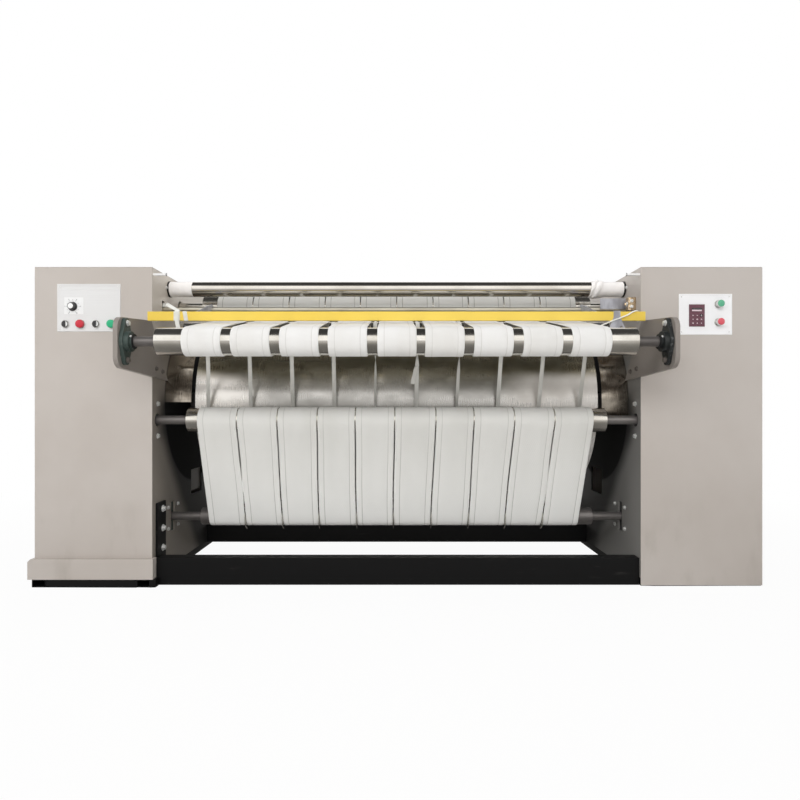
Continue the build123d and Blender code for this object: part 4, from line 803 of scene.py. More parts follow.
def belt_section(half):
    """Cross-section of a thick belt: rounded edges, and a sewn groove along each side."""
    sewn = half - SEWN_IN
    side = [
        (half, 0.3, 0.0), (half - 0.0012, 0.75, 0.0), (half - 0.004, 1.0, 0.0), (sewn + 3 * SEWN_HALF, 1.0, 0.0),
        (sewn + SEWN_HALF, 0.9, 1.0), (sewn - SEWN_HALF, 0.9, 1.0), (sewn - 3 * SEWN_HALF, 1.0, 0.0),
        (half * 0.3, 1.0, 0.0),
    ]
    return [(-at, high, mark) for at, high, mark in side] + side[::-1]


WANDER = 0.00672              # how far the gap between two belts may stray


def seam_wander(seam, travelled):
    """How far the gap between two belts has wandered at this point of the loop."""
    turns = 2 * math.pi * travelled / apron_length
    wave = Vector((seam * 3.7, math.cos(turns) * 2.3, math.sin(turns) * 2.3))
    return WANDER * noise.noise(wave) if 0 < seam < len(belt_boxes) else 0.0


BELT_DRIFT = ((0.26, -0.0135), (0.76, -0.0045), (1.25, 0.0))      # height, and x that the belts ran off by
WORN_EDGE = 0.0010            # by which each side of a belt has worn back


def drift(height):
    """How far all the belts have run to the side at a height."""
    for (z0, x0), (z1, x1) in zip(BELT_DRIFT, BELT_DRIFT[1:]):
        if height < z1:
            return x0 + (x1 - x0) * max(0.0, (height - z0) / (z1 - z0))
    return 0.0


PULLED_HEIGHT, PULLED_HALF = 0.43, 0.10      # where the outer belts lean on their neighbours
LEFT_OPEN = 0.0009            # of the gap between them, there


def pulled(seam, height):
    """How far each side of an outer gap has closed at a height."""
    if seam not in (1, len(belt_boxes) - 1):
        return 0.0
    gap = belt_boxes[seam][0].x - belt_boxes[seam - 1][1].x + 2 * WORN_EDGE
    return (gap - LEFT_OPEN) / 2 * max(0.0, 1 - ((height - PULLED_HEIGHT) / PULLED_HALF) ** 4)


for number, (low, high) in enumerate(belt_boxes):
    left, right = low.x + WORN_EDGE, high.x - WORN_EDGE

    def between_seams(place, travelled, free, height, number=number, left=left, right=right):
        """x on this belt, with each side following the wandering gap that it borders."""
        part = (place + (right - left) / 2) / (right - left)
        shift = (1 - part) * (seam_wander(number, travelled) - pulled(number, height))
        shift += part * (seam_wander(number + 1, travelled) + pulled(number + 1, height))
        return left + (right - left) * part + shift + drift(height)

    piece = belt(
        f"ironing_belt_{number + 1}", apron_path, belt_section((right - left) / 2), between_seams, belt_cloth,
        BELT_THICK, 0.0035, number, (0.31 + 0.013 * number, 0.045, 0.0008),
    )
    if number == 0:
        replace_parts(piece, "ironing_belts")

# Thin steel discs on the lower roller stand in the gaps and keep the belts apart, so they are
# set over with the belts.
DISC_HALF = 0.0009
foot = (lower[0] - lower[2], lower[1])       # where the apron reaches the lower roller
lowest = min(range(len(apron_path)), key=lambda i: sum(abs(a - b) for a, b in zip(apron_path[i][:2], foot)))
lowest_travel = sum(math.hypot(b[0] - a[0], b[1] - a[1]) for a, b in zip(apron_path[:lowest], apron_path[1:]))
bore, disc_radius = lower[2] + 0.0004, middle_of("lower_guide_discs")[2]
disc = [(bore, -DISC_HALF), (disc_radius - 0.0008, -DISC_HALF), (disc_radius, -DISC_HALF * 0.4)]
disc += [(out, -along) for out, along in reversed(disc)] + disc[:1]
discs = bmesh.new()
for seam, (before, after) in enumerate(zip(belt_boxes, belt_boxes[1:]), 1):
    x = (before[1].x + after[0].x) / 2 + seam_wander(seam, lowest_travel) + drift(lower[1])
    turned(discs, disc, facing((x, lower[0], lower[1]), "+x"), 72)
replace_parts(new_piece("lower_discs", discs, stainless, "lower_roller"), "lower_guide_discs")


# ---------------------------------------------------------------- feed belts
# Nine endless belts carry the linen from the feed roller back to the drum. They are whiter and
# softer than the ironing belts, with rounded sides and a lapped, sewn join.
feed_cloth = cloth("feed_belt_cloth", (232, 231, 229), (222, 220, 216), 620.0, stitch=(214, 212, 208))
FEED_THICK = 0.0040
SHOWN_JOIN = {8: 0.93}        # belt number and share of its loop, for the join that lies in front
feed_wheel, transfer = middle_of("feed_roller_tube"), middle_of("transfer_roller")
feed_path = loop_path([(y, z, r + ON_METAL) for y, z, r in (feed_wheel, transfer)], 0.018)
feed_length = run_length(feed_path)
draw = random.Random(11)
for number, (low, high) in enumerate(islands("feed_belts")):
    middle, half = (low.x + high.x) / 2, (high.x - low.x) / 2
    askew = [draw.uniform(-0.003, 0.003) for _ in range(2)]
    tuck = draw.uniform(0.0, 0.0025)

    def on_conveyor(place, travelled, free, height, middle=middle, askew=askew, tuck=tuck):
        """x on this belt: it runs a little askew, and narrows by a hair between the rollers."""
        turns = 2 * math.pi * travelled / feed_length
        return middle + place * (1 - tuck * free) + (askew[0] * math.cos(turns) + askew[1] * math.sin(turns)) / 2

    join = SHOWN_JOIN[number] if number in SHOWN_JOIN else draw.uniform(0.1, 0.8)
    piece = belt(
        f"feed_belt_{number + 1}", feed_path, belt_section(half), on_conveyor, feed_cloth,
        FEED_THICK, 0.002, 20 + number, (join, 0.03, 0.0012),
    )
    if number == 0:
        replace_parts(piece, "feed_belts")


# ---------------------------------------------------------------- guide tapes
# Ten narrow cotton tapes run from the transfer roller round the drum and peel the linen off it.
# Three of them have taken a twist where they hang free, and two are knotted, with a loose end.
tape_cloth = cloth("guide_tape_cloth", (214, 213, 208), (196, 194, 187), 1100.0, bump=0.35)
TAPE_THICK = 0.0009
TAPE_TOP, TAPE_FALL = 1.08, 0.42           # height where a tape starts to lean, and over what drop
TAPE_LEANS = (                # how far each has run to the side at the drum's foot, from left to right
    -0.030, -0.020, -0.012, -0.006, -0.005, -0.005, -0.006, -0.003, 0.0, 0.0,
)
TWISTED = {4: 2.2, 5: 3.14, 6: -2.6}      # tape number and how far it turns over
tape_path = loop_path([(y, z, r + ON_METAL) for y, z, r in (transfer, drum)], 0.022)
tape_length = run_length(tape_path)
front_run = [i for i, point in enumerate(tape_path) if point[4] > 0 and point[0] < drum[0] - drum[2] * 0.5]


def tape(name, middle, half, twist, seed, lean):
    """A flat endless tape; twist turns it over and back along the run that hangs free in front,
    and lean is how far it has run to the side at the foot of the drum."""
    shape = bmesh.new()
    rings = []
    for i, (y, z, out_y, out_z, free) in enumerate(tape_path):
        turn = twist * math.sin(math.pi * free / 2) ** 2 if i in front_run else 0.0
        fallen = min(1.0, max(0.0, (TAPE_TOP - z) / TAPE_FALL))
        astray = lean * fallen * fallen * (3 - 2 * fallen)
        centre = Vector((middle + astray + 0.0015 * noise.noise(Vector((seed, i * 0.13, 0))), y, z))
        outward, flat = Vector((0, out_y, out_z)), Vector((1, 0, 0))
        spin = Matrix.Rotation(turn, 3, outward.cross(flat))
        centre += outward * abs(math.sin(turn)) * half
        rings.append([
            shape.verts.new(centre + spin @ flat * place * half + spin @ outward * height * TAPE_THICK)
            for place, height in ((-1, 0), (-0.9, 1), (0, 1), (0.9, 1), (1, 0), (0, 0))
        ])
    skinned(shape, rings, "closed")
    return new_piece(name, shape, tape_cloth, "frame", 60)


STEPS = 6                     # of a ribbon, from point to point


def ribbon(name, points, wide, width, material, body):
    """A strip of cloth along a row of points, wide towards the wide directions, one for each;
    returns it with its length."""
    path = []
    last = len(points) - 1
    for i in range(last):
        before, here, there, after = [Vector(points[max(0, min(last, i + k))]) for k in (-1, 0, 1, 2)]
        for t in [k / STEPS for k in range(STEPS + (i == last - 1))]:
            curve = 0.5 * (
                2 * here + (there - before) * t
                + (2 * before - 5 * here + 4 * there - after) * t * t
                + (3 * here - 3 * there + after - before) * t ** 3
            )
            path.append((curve, (Vector(wide[i]) * (1 - t) + Vector(wide[i + 1]) * t).normalized()))
    shape = bmesh.new()
    rings = []
    edge = [(-1, -0.5), (-1, 0.5), (-0.33, 0.5), (0.33, 0.5), (1, 0.5), (1, -0.5), (0.33, -0.5), (-0.33, -0.5)]
    for i, (at, side) in enumerate(path):
        ahead = path[min(i + 1, len(path) - 1)][0] - path[max(i - 1, 0)][0]
        up = side.cross(ahead).normalized()
        cup = 0.06 * width * math.sin(i * 0.7)
        rings.append([
            shape.verts.new(at + side * place * width / 2 + up * (height * TAPE_THICK + cup * (1 - place * place)))
            for place, height in edge
        ])
    skinned(shape, rings, "capped")
    piece = new_piece(name, shape, material, body, 60)
    return piece, sum((b[0] - a[0]).length for a, b in zip(path, path[1:]))


tape_boxes = islands("guide_tapes")
for number, ((low, high), lean) in enumerate(zip(tape_boxes, TAPE_LEANS)):
    middle, half = (low.x + high.x) / 2, (high.x - low.x) / 2
    piece = tape(f"guide_tape_{number + 1}", middle, half, TWISTED.get(number, 0.0), number, lean)
    if number == 0:
        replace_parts(piece, "guide_tapes")

# A twisted tape was mended with a knot, and its end hangs loose: tape number, height of the
# knot above the drum's axis, length and lean of the end.
LOOSE_ENDS = ((5, 0.165, 0.085, -0.022), (6, 0.262, 0.060, -0.030))
HANGING = (                   # share of the lean, metres to the front, share of the length
    (0, 0, 0), (0.3, 0.006, 0.15), (0.7, 0.009, 0.55), (1, 0.005, 1),
)
for number, above, long, lean in LOOSE_ENDS:
    low, high = tape_boxes[number]
    knot_z = drum[1] + above
    knot_y = tape_path[min(front_run, key=lambda i: abs(tape_path[i][1] - knot_z))][0] - 0.006
    middle = (low.x + high.x) / 2
    points = [(middle + lean * aside, knot_y - out, knot_z - long * down) for aside, out, down in HANGING]
    wide = [(1, 0, 0.1), (0.9, 0.4, 0.2), (0.8, 0.6, 0.1), (0.95, -0.3, 0)]
    piece, length = ribbon(f"tape_end_{number + 1}", points, wide, high.x - low.x, tape_cloth, "frame")


# ---------------------------------------------------------------- guide tube and its cloth sleeves
# The bright tube above the bed turns the belts' tops. White cotton is wound on both its ends,
# and on the right the winding has slipped into a bunch. Black end rings close it at the plates.
sleeve_cloth = cloth("sleeve_cloth", (250, 247, 245), (240, 236, 233), 800.0)
guide = middle_of("guide_roller")
plate_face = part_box("right_side_plate")[0].x
WINDING = 0.0026
SLIPPED = 0.044               # how far the right winding has slipped in
BUNCH = 0.0066                # how high it stands where it is bunched
UNEVEN = 0.0008               # how high the left one stands there
ALONG, AROUND = 46, 64        # points of the winding
for side, label, (low, high) in zip((-1, 1), ("left", "right"), islands("guide_sleeves")):
    radius = (high.z - low.z) / 2 - WINDING
    inner_end = low.x - SLIPPED if side > 0 else high.x
    length = high.x - low.x + (SLIPPED if side > 0 else 0.0)
    shape = bmesh.new()
    over, under = [[] for _ in range(AROUND)], [[] for _ in range(AROUND)]
    for part in evenly(0, 1, ALONG):
        x = inner_end + side * part * length
        bunch = math.exp(-((part - 0.16) / 0.2) ** 4) * (BUNCH if side > 0 else UNEVEN)
        for k in range(AROUND):
            a = 2 * math.pi * k / AROUND
            wrinkle = noise.noise(Vector((part * 9, math.cos(a) * 1.5, math.sin(a) * 1.5 + side * 9)))
            slant = math.sin(a * 2 + part * 30 + 2 * wrinkle) * 0.5 + 0.5
            outer = radius + WINDING + 0.0009 * wrinkle + bunch * (0.6 + 0.8 * slant)
            skew = bunch * 1.8 * math.sin(a + 0.6)
            for strip, at, reach in ((under[k], x, radius), (over[k], x + skew, outer)):
                strip.append(shape.verts.new((at, guide[0] + reach * math.cos(a), guide[1] + reach * math.sin(a))))
    skinned(shape, [top + bottom[::-1] for top, bottom in zip(over, under)], "closed")
    piece = new_piece(f"guide_sleeve_{label}", shape, sleeve_cloth, "guide_roller", 60)
    if side < 0:
        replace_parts(piece, "guide_sleeves")
    seal = bmesh.new()
    seat = (side * (max(abs(low.x), abs(high.x)) + 0.0004), guide[0], guide[1])
    room = plate_face - abs(seat[0]) - 0.0006
    bore, rim_radius = 0.0135, radius + WINDING + 0.002
    profile = [(bore, 0), (radius + WINDING, 0), (rim_radius, room * 0.3), (rim_radius, room), (bore, room), (bore, 0)]
    turned(seal, profile, facing(seat, "+x" if side > 0 else "-x"), 48)
    new_piece(f"guide_seal_{label}", seal, black_rubber, "frame")


# ---------------------------------------------------------------- finger guard
# A yellow bar in front of the drum swings up on two arms when a hand pushes it, and a switch
# then stops the machine. Cotton ties hold it, one led out through the slot in the left plate.
yellow, shader, where = new_material("guard_yellow", roughness=0.4)
skin, wear = effect(sprayed, where), effect(scuffed, where, Amount=0.25)["Scuff"]
feed(shader, Base_Color=mixed(wear, mixed(skin["Cloud"], (244, 214, 98), (238, 205, 86)), (206, 168, 60)))
bumped(shader, skin["Peel"], 0.2, 0.0004)
softened("guard_bar", 0.0018, yellow, "finger_guard")
finish_node("guard_rod", ground_steel("drawn_rod_steel", (236, 231, 214), (214, 208, 192), 0.3, 0.1, 300.0))
plated, shader, where = new_material("blue_plated_steel", metallic=0.6)
worn = ranged(cloud(where, 30.0, 4.0, (1.0, 1.0, 0.4)), 0.35, 0.7)
feed(shader, Base_Color=mixed(worn, (184, 185, 192), (156, 156, 163)), Roughness=ranged(worn, 0, 1, 0.36, 0.5))
softened("guard_arms", 0.0006, plated, "finger_guard")

tie_cloth = cloth("tie_cloth", (238, 238, 232), (222, 221, 213), 1500.0, bump=0.4)
bar_low, bar_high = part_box("guard_bar")
tie_boxes = islands("guard_ties")
TIE_CLEAR = 0.0010
TIE_TURN = 0.003              # in which a tie bends round an edge of the bar
TIE_LEANS = (0.0, 0.006)
for number, ((low, high), lean) in enumerate(zip(tie_boxes, TIE_LEANS)):
    middle, width = (low.x + high.x) / 2, high.x - low.x
    y0, y1 = bar_low.y - TIE_CLEAR, bar_high.y + TIE_CLEAR
    z0, z1 = bar_low.z - TIE_CLEAR, bar_high.z + TIE_CLEAR
    mid_y, mid_z = (y0 + y1) / 2, (z0 + z1) / 2
    points = [
        (middle, mid_y, z1 + 0.0006), (middle, y0 + TIE_TURN, z1), (middle, y0, z1 - TIE_TURN),
        (middle + lean / 2, y0, mid_z), (middle + lean, y0, z0 + TIE_TURN), (middle + lean, y0 + TIE_TURN, z0),
        (middle + lean, y1 - TIE_TURN, z0), (middle + lean, y1, z0 + TIE_TURN), (middle, y1, mid_z),
        (middle, y1, z1 - TIE_TURN), (middle, y1 - TIE_TURN, z1), (middle, mid_y + 0.001, z1 + 0.0016),
    ]
    wide = [(1, 0, 0)] * len(points)
    piece, length = ribbon(f"guard_tie_{number + 1}", points, wide, width, tie_cloth, "finger_guard")
    if number == 0:
        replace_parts(piece, "guard_ties")

# The left tie starts in the slot of the side plate, crosses to the bar and ends in a hanging
# tail. On the right a thin tape runs slantwise over the bar to the bar's end.
LEAD_WIDTH, THIN_WIDTH = 0.017, 0.0105
rod_y, rod_z, _ = middle_of("guard_rod")
left_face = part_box("left_side_plate")[1].x
tie_x = (tie_boxes[0][0].x + tie_boxes[0][1].x) / 2
lead = [
    (left_face - 0.004, rod_y, rod_z + 0.020), (left_face + 0.025, rod_y - 0.012, rod_z + 0.019),
    (left_face + 0.06, (rod_y + bar_high.y) / 2, rod_z + 0.004),
    (tie_x - 0.012, bar_high.y + 0.012, bar_high.z + 0.012), (tie_x, bar_high.y, bar_high.z + 0.005),
    (tie_x + 0.001, bar_low.y - 0.001, bar_high.z + 0.003), (tie_x + 0.001, bar_low.y - 0.005, bar_high.z - 0.008),
    (tie_x + 0.002, bar_low.y - 0.006, bar_low.z), (tie_x + 0.008, bar_low.y - 0.007, bar_low.z - 0.030),
]
turn_over = [(0, 0.3, 1), (0.1, 0.4, 0.9), (0.3, 0.5, 0.8), (0.8, 0.5, 0.3)] + [(1, 0, 0)] * 4 + [(1, 0.12, 0)]
piece, length = ribbon("left_tie_lead", lead, turn_over, LEAD_WIDTH, tie_cloth, "finger_guard")

hook_low, hook_high = min(islands("guard_arms"), key=lambda ends: ends[0].z)
hook_x = (hook_low.x + hook_high.x) / 2
thin = [
    (hook_x - 0.070, bar_low.y - 0.004, bar_low.z - 0.022), (hook_x - 0.022, bar_low.y - 0.006, bar_low.z - 0.002),
    (hook_x + 0.036, bar_low.y - 0.006, bar_low.z + 0.020),
    (bar_high.x - 0.055, bar_low.y - 0.003, bar_high.z - 0.002),
    (bar_high.x - 0.036, bar_low.y + 0.002, bar_high.z + 0.004),
    (bar_high.x - 0.022, bar_high.y + 0.003, bar_high.z + 0.003),
]
piece, length = ribbon("right_tie_tape", thin, [(0, 0.86, 0.5)] * len(thin), THIN_WIDTH, tie_cloth, "finger_guard")

# The guard switch: a brass-bodied plunger switch on the right plate, with two screws and a
# locknut.
brass, shader, where = new_material("cast_brass", metallic=1.0)
tarnish = ranged(cloud(where, 90.0, 4.0), 0.4, 0.7)
feed(shader, Base_Color=mixed(tarnish, (222, 200, 168), (166, 142, 112)), Roughness=ranged(tarnish, 0, 1, 0.22, 0.42))
softened("guard_switch", 0.001, brass)
switch_low, switch_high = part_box("guard_switch")
nuts = bmesh.new()
middle = (switch_low + switch_high) / 2
for up in (-0.013, 0.013):
    hex_bolt(nuts, (middle.x + 0.004, switch_low.y, middle.z + up), "-y", 0.013, 0.006)
hex_bolt(nuts, (switch_low.x + 0.012, middle.y, middle.z), "-x", 0.019, 0.006)
new_piece("guard_switch_nuts", nuts, zinc, "frame")


# ---------------------------------------------------------------- control panels
# Sheet panels with a folded rim carry the controls: silver with a dial and four controls on the
# left, white with a keypad and two push buttons on the right. No lettering is on them.
def panel_sheet(name, clean, clouded, roughness):
    """Sheet for a panel, faintly clouded."""
    material, shader, where = new_material(name, roughness=roughness)
    grain = cloud(where, 30.0, 3.0, (0.15, 1.0, 12.0))
    feed(shader, Base_Color=mixed((effect(sprayed, where)["Cloud"] + grain) * 0.5, clean, clouded))
    bumped(shader, grain, 0.08, 0.0003)
    return material


def slab(shape, outline, levels, place):
    """Add a flat form: an outline of points, from one level to another."""
    skinned(shape, [[shape.verts.new(place @ Vector((x, z, at))) for x, z in outline] for at in levels], "capped")


def oblong(x0, x1, z0, z1):
    """The corners of an oblong."""
    return (x0, z0), (x1, z0), (x1, z1), (x0, z1)


def rim(shape, low, high, wide, rise):
    """Add a folded rim round the face of a panel, with a rounded top."""
    loops = []
    for inward, out in ((0, 0), (0.1, 0.8), (0.35, 1), (0.7, 1), (1, 0.3), (1, 0)):
        inset = wide * inward
        corners = oblong(low.x + inset, high.x - inset, low.z + inset, high.z - inset)
        loops.append([shape.verts.new((x, low.y - rise * out, z)) for x, z in corners])
    skinned(shape, loops, "closed")


silver_sheet = panel_sheet("silver_panel", (232, 232, 232), (219, 218, 217), 0.36)
white_sheet = panel_sheet("white_panel", (251, 251, 252), (245, 245, 246), 0.4)
finish_node("dial_plate", panel_sheet("dial_enamel", (243, 243, 243), (236, 236, 235), 0.3))
RIM_WIDTH = 0.007
RIM_RISE = 0.0022
HEADER_DEEP = 0.027           # of the framed strip along the top of the left panel
SCREW = 0.005
for node, sheet_material, slot_name in (
    ("left_control_panel", silver_sheet, "panel_silver"), ("right_control_panel", white_sheet, "panel_white"),
):
    finish_node(node, sheet_material)
    low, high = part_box(node)
    shape = bmesh.new()
    rim(shape, low, high, RIM_WIDTH, RIM_RISE)
    if node == "left_control_panel":
        inset = Vector((RIM_WIDTH, 0, RIM_WIDTH))
        rim(shape, Vector((low.x + RIM_WIDTH, low.y, high.z - HEADER_DEEP)), high - inset, 0.003, 0.0012)
    new_piece(node + "_rim", shape, sheet_material, "frame", 50)
    screws = bmesh.new()
    inset = RIM_WIDTH * 1.7
    head = [(0, 0), (0.6, 0), (0.6, 0.12), (0.45, 0.3), (0.15, 0.36), (0, 0.36)]
    for x, z in oblong(low.x + inset, high.x - inset, low.z + inset, high.z - inset):
        turned(screws, [(SCREW * out, SCREW * up) for out, up in head], facing((x, low.y, z), "-y"), 16)
    new_piece(node + "_screws", screws, zinc, "frame")


def printed(name, colour):
    """Screen print, with a hair of grain."""
    material, shader, where = new_material(name, colour)
    bumped(shader, cloud(where, 900.0), 0.1, 0.0001)
    return material


def moulded(name, colour, roughness, mottle=0.06):
    """Moulded plastic with a fine spark-eroded skin."""
    material, shader, where = new_material(name, Coat_Weight=0.15)
    worn = ranged(cloud(where, 70.0, 4.0), 0.35, 0.7)
    paler = [c + (255 - c) * mottle for c in colour]
    feed(shader, Base_Color=mixed(worn, colour, paler), Roughness=ranged(worn, 0, 1, roughness, roughness + 0.1))
    bumped(shader, cloud(where, 1400.0), 0.2, 0.0001)
    return material


def control(node, seat):
    """A round control: the matrix that turns it to the front, its radius, its whole length, and
    the length of the stem behind its seat, which is given as y."""
    low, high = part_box(node)
    place = facing(((low.x + high.x) / 2, high.y, (low.z + high.z) / 2), "-y")
    return place, (high.x - low.x) / 2, high.y - low.y, high.y - seat


# The dial has eleven marks, every other one with its figure.
PLAY = 0.0003                 # between a turning control and the face behind it
STEM = 0.0069                 # radius of the stems
TICKS = 11
TICK_RADIUS = 0.0265
DIAL_SWEEP = 300
PRINT_RISE = 0.00025
dial_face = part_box("dial_plate")[0].y
place, knob_radius, whole, stem = control("speed_knob", dial_face - PLAY)
knob_x, _, knob_z = place.translation
dial = facing((knob_x, dial_face, knob_z), "-y")
printing = bmesh.new()
for k in range(TICKS):
    turn = dial @ Matrix.Rotation(math.radians(90 + DIAL_SWEEP / 2 - k * DIAL_SWEEP / (TICKS - 1)), 4, "Z")
    long = 0.0042 if k % 5 == 0 else 0.0028
    slab(printing, oblong(TICK_RADIUS, TICK_RADIUS + long, -0.0006, 0.0006), (0, PRINT_RISE), turn)
    if k % 2 == 0:
        figure = bpy.data.curves.new("figure", "FONT")
        figure.body = str(k)
        figure.size = 0.0075
        figure.align_x = figure.align_y = "CENTER"
        figure.extrude = PRINT_RISE / 2
        carrier = bpy.data.objects.new("figure", figure)
        mesh = bpy.data.meshes.new_from_object(carrier)
        mesh.transform(facing(turn @ Vector((TICK_RADIUS + 0.0078, 0, 0)), "-y"))
        printing.from_mesh(mesh)
        bpy.data.meshes.remove(mesh)
        bpy.data.objects.remove(carrier)
        bpy.data.curves.remove(figure)
new_piece("dial_figures", printing, printed("print_black", (52, 52, 56)), "frame")

black_plastic = moulded("black_plastic", (34, 34, 36), 0.35)
white_plastic = moulded("white_plastic", (238, 238, 236), 0.35, 0.02)
bezel_metal = ground_steel("bezel_metal", (226, 225, 222), (206, 205, 202), 0.22, 0.05)

# The speed knob: a fluted black grip on a skirt, with a spun silver cap.
deep = whole - stem           # from the skirt to the front of the cap
face_at = stem + deep * 0.97
grip = [(1, 0), (1, 0.12), (0.86, 0.3), (0.8, 0.36), (0.76, 0.9), (0.7, 0.97), (0, 0.97)]
shape = bmesh.new()
profile = [(0, 0), (STEM, 0), (STEM, stem)] + [(knob_radius * out, stem + deep * up) for out, up in grip]
turned(shape, profile, place, 96)
for vert in shape.verts:
    local = place.inverted() @ vert.co
    if local.z > stem + deep * 0.35 and math.hypot(local.x, local.y) > knob_radius * 0.5:
        flute = 1 - 0.045 * (0.5 + 0.5 * math.cos(24 * math.atan2(local.y, local.x))) ** 3
        vert.co = place @ Vector((local.x * flute, local.y * flute, local.z))
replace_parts(new_piece("speed_knob_grip", shape, black_plastic, "speed_dial", 30), "speed_knob")
shape = bmesh.new()
cap = [(0, 0), (0.58, 0), (0.58, 0.02), (0.54, 0.028), (0, 0.03)]
profile = [(knob_radius * out, face_at + deep * up) for out, up in cap]
turned(shape, profile, place, 48)
cap_metal, shader, where = new_material("knob_cap_aluminium", (244, 244, 244), 0.38, 0.35)
bumped(shader, cloud(where, 700.0, 2.0), 0.1, 0.0001)
new_piece("speed_knob_cap", shape, cap_metal, "speed_dial", 30)
shape = bmesh.new()
pointer = oblong(-0.0008, 0.0008, knob_radius * 0.80, knob_radius * 0.98)
slab(shape, pointer, (stem + deep * 0.28, stem + deep * 0.36), place)
new_piece("speed_knob_line", shape, white_plastic, "speed_dial", 30)

# Bezels, selectors and push buttons. A selector is a black rotor with a raised grip, and a
# white inset on the half that shows the chosen side. Button caps are domed.
GRIP_HIGH = 0.010             # of a selector's grip, above its face
softened("control_collars", 0.0012, bezel_metal, segments=3)
panel_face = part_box("left_control_panel")[0].y
for node in ("left_selector", "right_selector"):
    place, radius, whole, stem = control(node, panel_face - PLAY)
    face_at = whole - GRIP_HIGH
    shape = bmesh.new()
    profile = [(0, 0), (STEM, 0), (STEM, stem), (radius, stem), (radius, face_at - 0.001), (radius * 0.93, face_at)]
    turned(shape, profile + [(0, face_at)], place, 48)
    width, tall = radius * 0.27, radius * 0.9
    levels = []
    for at, taper in ((face_at - 0.0005, 1.15), (face_at + 0.007, 0.95), (whole - 0.0008, 0.85), (whole, 0.6)):
        x, z = width * taper, tall * (0.6 + 0.4 * taper)
        levels.append([shape.verts.new(place @ Vector((*corner, at))) for corner in oblong(-x, x, -z, z)])
    skinned(shape, levels, "capped")
    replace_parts(new_piece(node + "_rotor", shape, black_plastic, node, 30), node)
    shape = bmesh.new()
    arc = [math.radians(a) for a in range(-78, 79, 6)]
    outline = [(radius * 0.88 * math.cos(a), radius * 0.88 * math.sin(a)) for a in arc]
    slab(shape, outline, (face_at - 0.0004, face_at + 0.0009), place)
    new_piece(node + "_inset", shape, white_plastic, node, 30)

CAP_PLASTIC = 0.2             # of the right buttons' depth; the rest is a metal collar
for name, label, colour, roughness, colour_name in (
    ("left_stop", "red_plastic", (196, 42, 58), 0.3, "red_plastic"),
    ("left_start", "green_plastic", (38, 172, 122), 0.3, "green_plastic"),
    ("right_start", "faded_green_plastic", (92, 178, 140), 0.32, "green_plastic"),
    ("right_stop", "faded_red_plastic", (216, 86, 98), 0.32, "red_plastic"),
):
    node = name + "_button"
    place, radius, whole, stem = control(node, panel_face - 0.005)
    dome = radius * 0.2
    profile = [(0, 0), (STEM, 0), (STEM, stem), (radius, stem), (radius, whole - dome * 1.3)]
    profile += [(radius * math.cos(a), whole - dome + dome * math.sin(a)) for a in (0.0, 0.35, 0.75, 1.15)]
    profile += [(radius * 0.2, whole), (0, whole)]
    shape = bmesh.new()
    turned(shape, profile, place, 48)
    cap = new_piece(node + "_cap", shape, moulded(label, colour, roughness), name, 40)
    if name.startswith("right"):
        cap.data.materials.append(bezel_metal)
        collar_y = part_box(node)[0].y + whole * CAP_PLASTIC
        for face in cap.data.polygons:
            face.material_index = 1 if face.center.y > collar_y else 0
    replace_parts(cap, node)

# The keypad: a maroon membrane on a moulded back, with a display and the marks of nine keys.
softened("keypad", 0.0006, moulded("keypad_membrane", (96, 56, 68), 0.4))
glass, shader, where = new_material("display_glass", (30, 12, 18), Coat_Weight=0.6)
feed(shader, Roughness=ranged(cloud(where, 50.0), 0.3, 0.7, 0.1, 0.2))


def small_plate(shape, x0, x1, z0, z1, y, rise, corner=0.001):
    """Add a thin plate with cut corners on a face that looks to the front."""
    outline = [
        (x0 + corner, z0), (x1 - corner, z0), (x1, z0 + corner), (x1, z1 - corner),
        (x1 - corner, z1), (x0 + corner, z1), (x0, z1 - corner), (x0, z0 + corner),
    ]
    slab(shape, outline, (0, rise), facing((0, y, 0), "-y"))


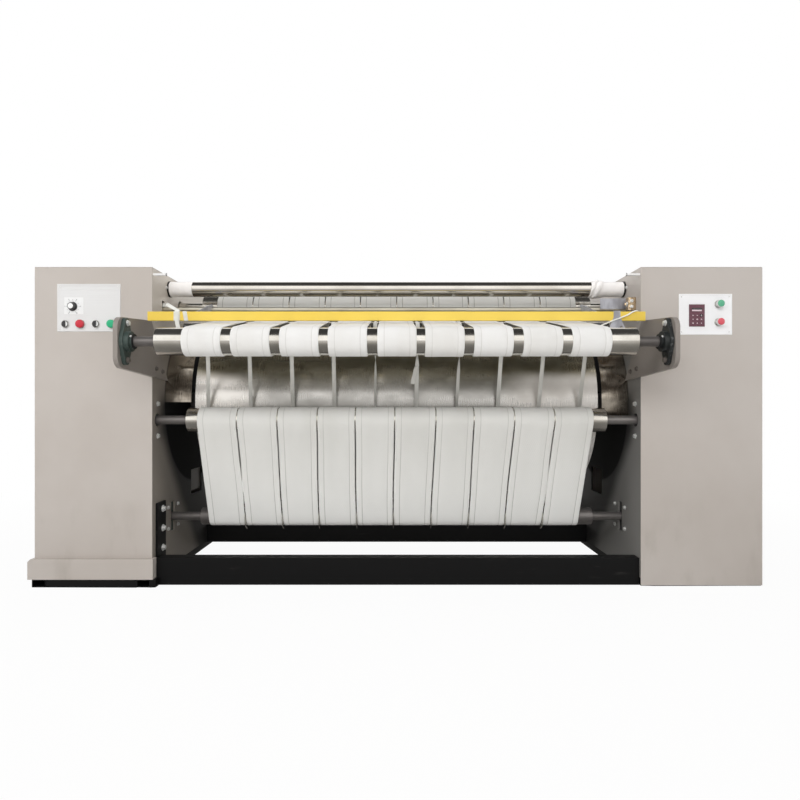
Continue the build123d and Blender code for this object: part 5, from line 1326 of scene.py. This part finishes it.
low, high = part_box("keypad")
wide, tall = high.x - low.x, high.z - low.z
shape = bmesh.new()
small_plate(shape, low.x + wide * 0.17, high.x - wide * 0.2, high.z - tall * 0.31, high.z - tall * 0.245, low.y, 0.0004)
KEYS = 3
BAR_HALF = 0.0011             # of the bars that mark a key
for column in range(KEYS):
    for row in range(KEYS):
        x, z = low.x + wide * (0.24 + 0.27 * column), low.z + tall * (0.15 + 0.175 * row)
        size = (0.0042, 0.0030, 0.0024)[(column + 2 * row) % 3]
        small_plate(shape, x - size, x + size, z - BAR_HALF, z + BAR_HALF, low.y, 0.0003, 0.0004)
        small_plate(shape, x - BAR_HALF, x + BAR_HALF, z - size * 0.8, z + size * 0.8, low.y, 0.00036, 0.0004)
for k in range(6):
    x = low.x + wide * (0.2 + 0.1 * k)
    small_plate(shape, x, x + 0.003, high.z - tall * 0.13, high.z - tall * 0.115, low.y + 0.0008, 0.0004, 0.0003)
new_piece("keypad_marks", shape, printed("pale_print", (226, 206, 212)), "frame")
shape = bmesh.new()
small_plate(shape, low.x + wide * 0.15, high.x - wide * 0.15, high.z - tall * 0.24, high.z - tall * 0.16, low.y, 0.0003)
x0, x1, z0, z1 = high.x - wide * 0.33, high.x - wide * 0.12, low.z + tall * 0.44, low.z + tall * 0.56
small_plate(shape, x0, x1, z0, z1, low.y, 0.0003, 0.003)
new_piece("keypad_display", shape, glass, "frame")


# ---------------------------------------------------------------- drive
# Inside the left cabinet a geared motor on a welded stand turns the drum by a roller chain.
# Castings are painted blue-grey, and the oiled chain and its wheels have gone dark.
motor_paint = worn_paint("motor_paint", (98, 108, 118), (150, 152, 152), 0.4, 0.5)
softened("gearmotor", 0.004, motor_paint)
softened("motor_mount", 0.0015, black_paint)
oiled = ground_steel("oiled_steel", (92, 88, 84), (52, 48, 44), 0.3, 0.2, 300.0)
for name in ("drum_sprocket", "drive_sprocket", "drive_chain"):
    finish_node(name, oiled)
finish_node("heater", ground_steel("heater_steel", (120, 112, 106), (84, 70, 60), 0.42, 0.2, 300.0))
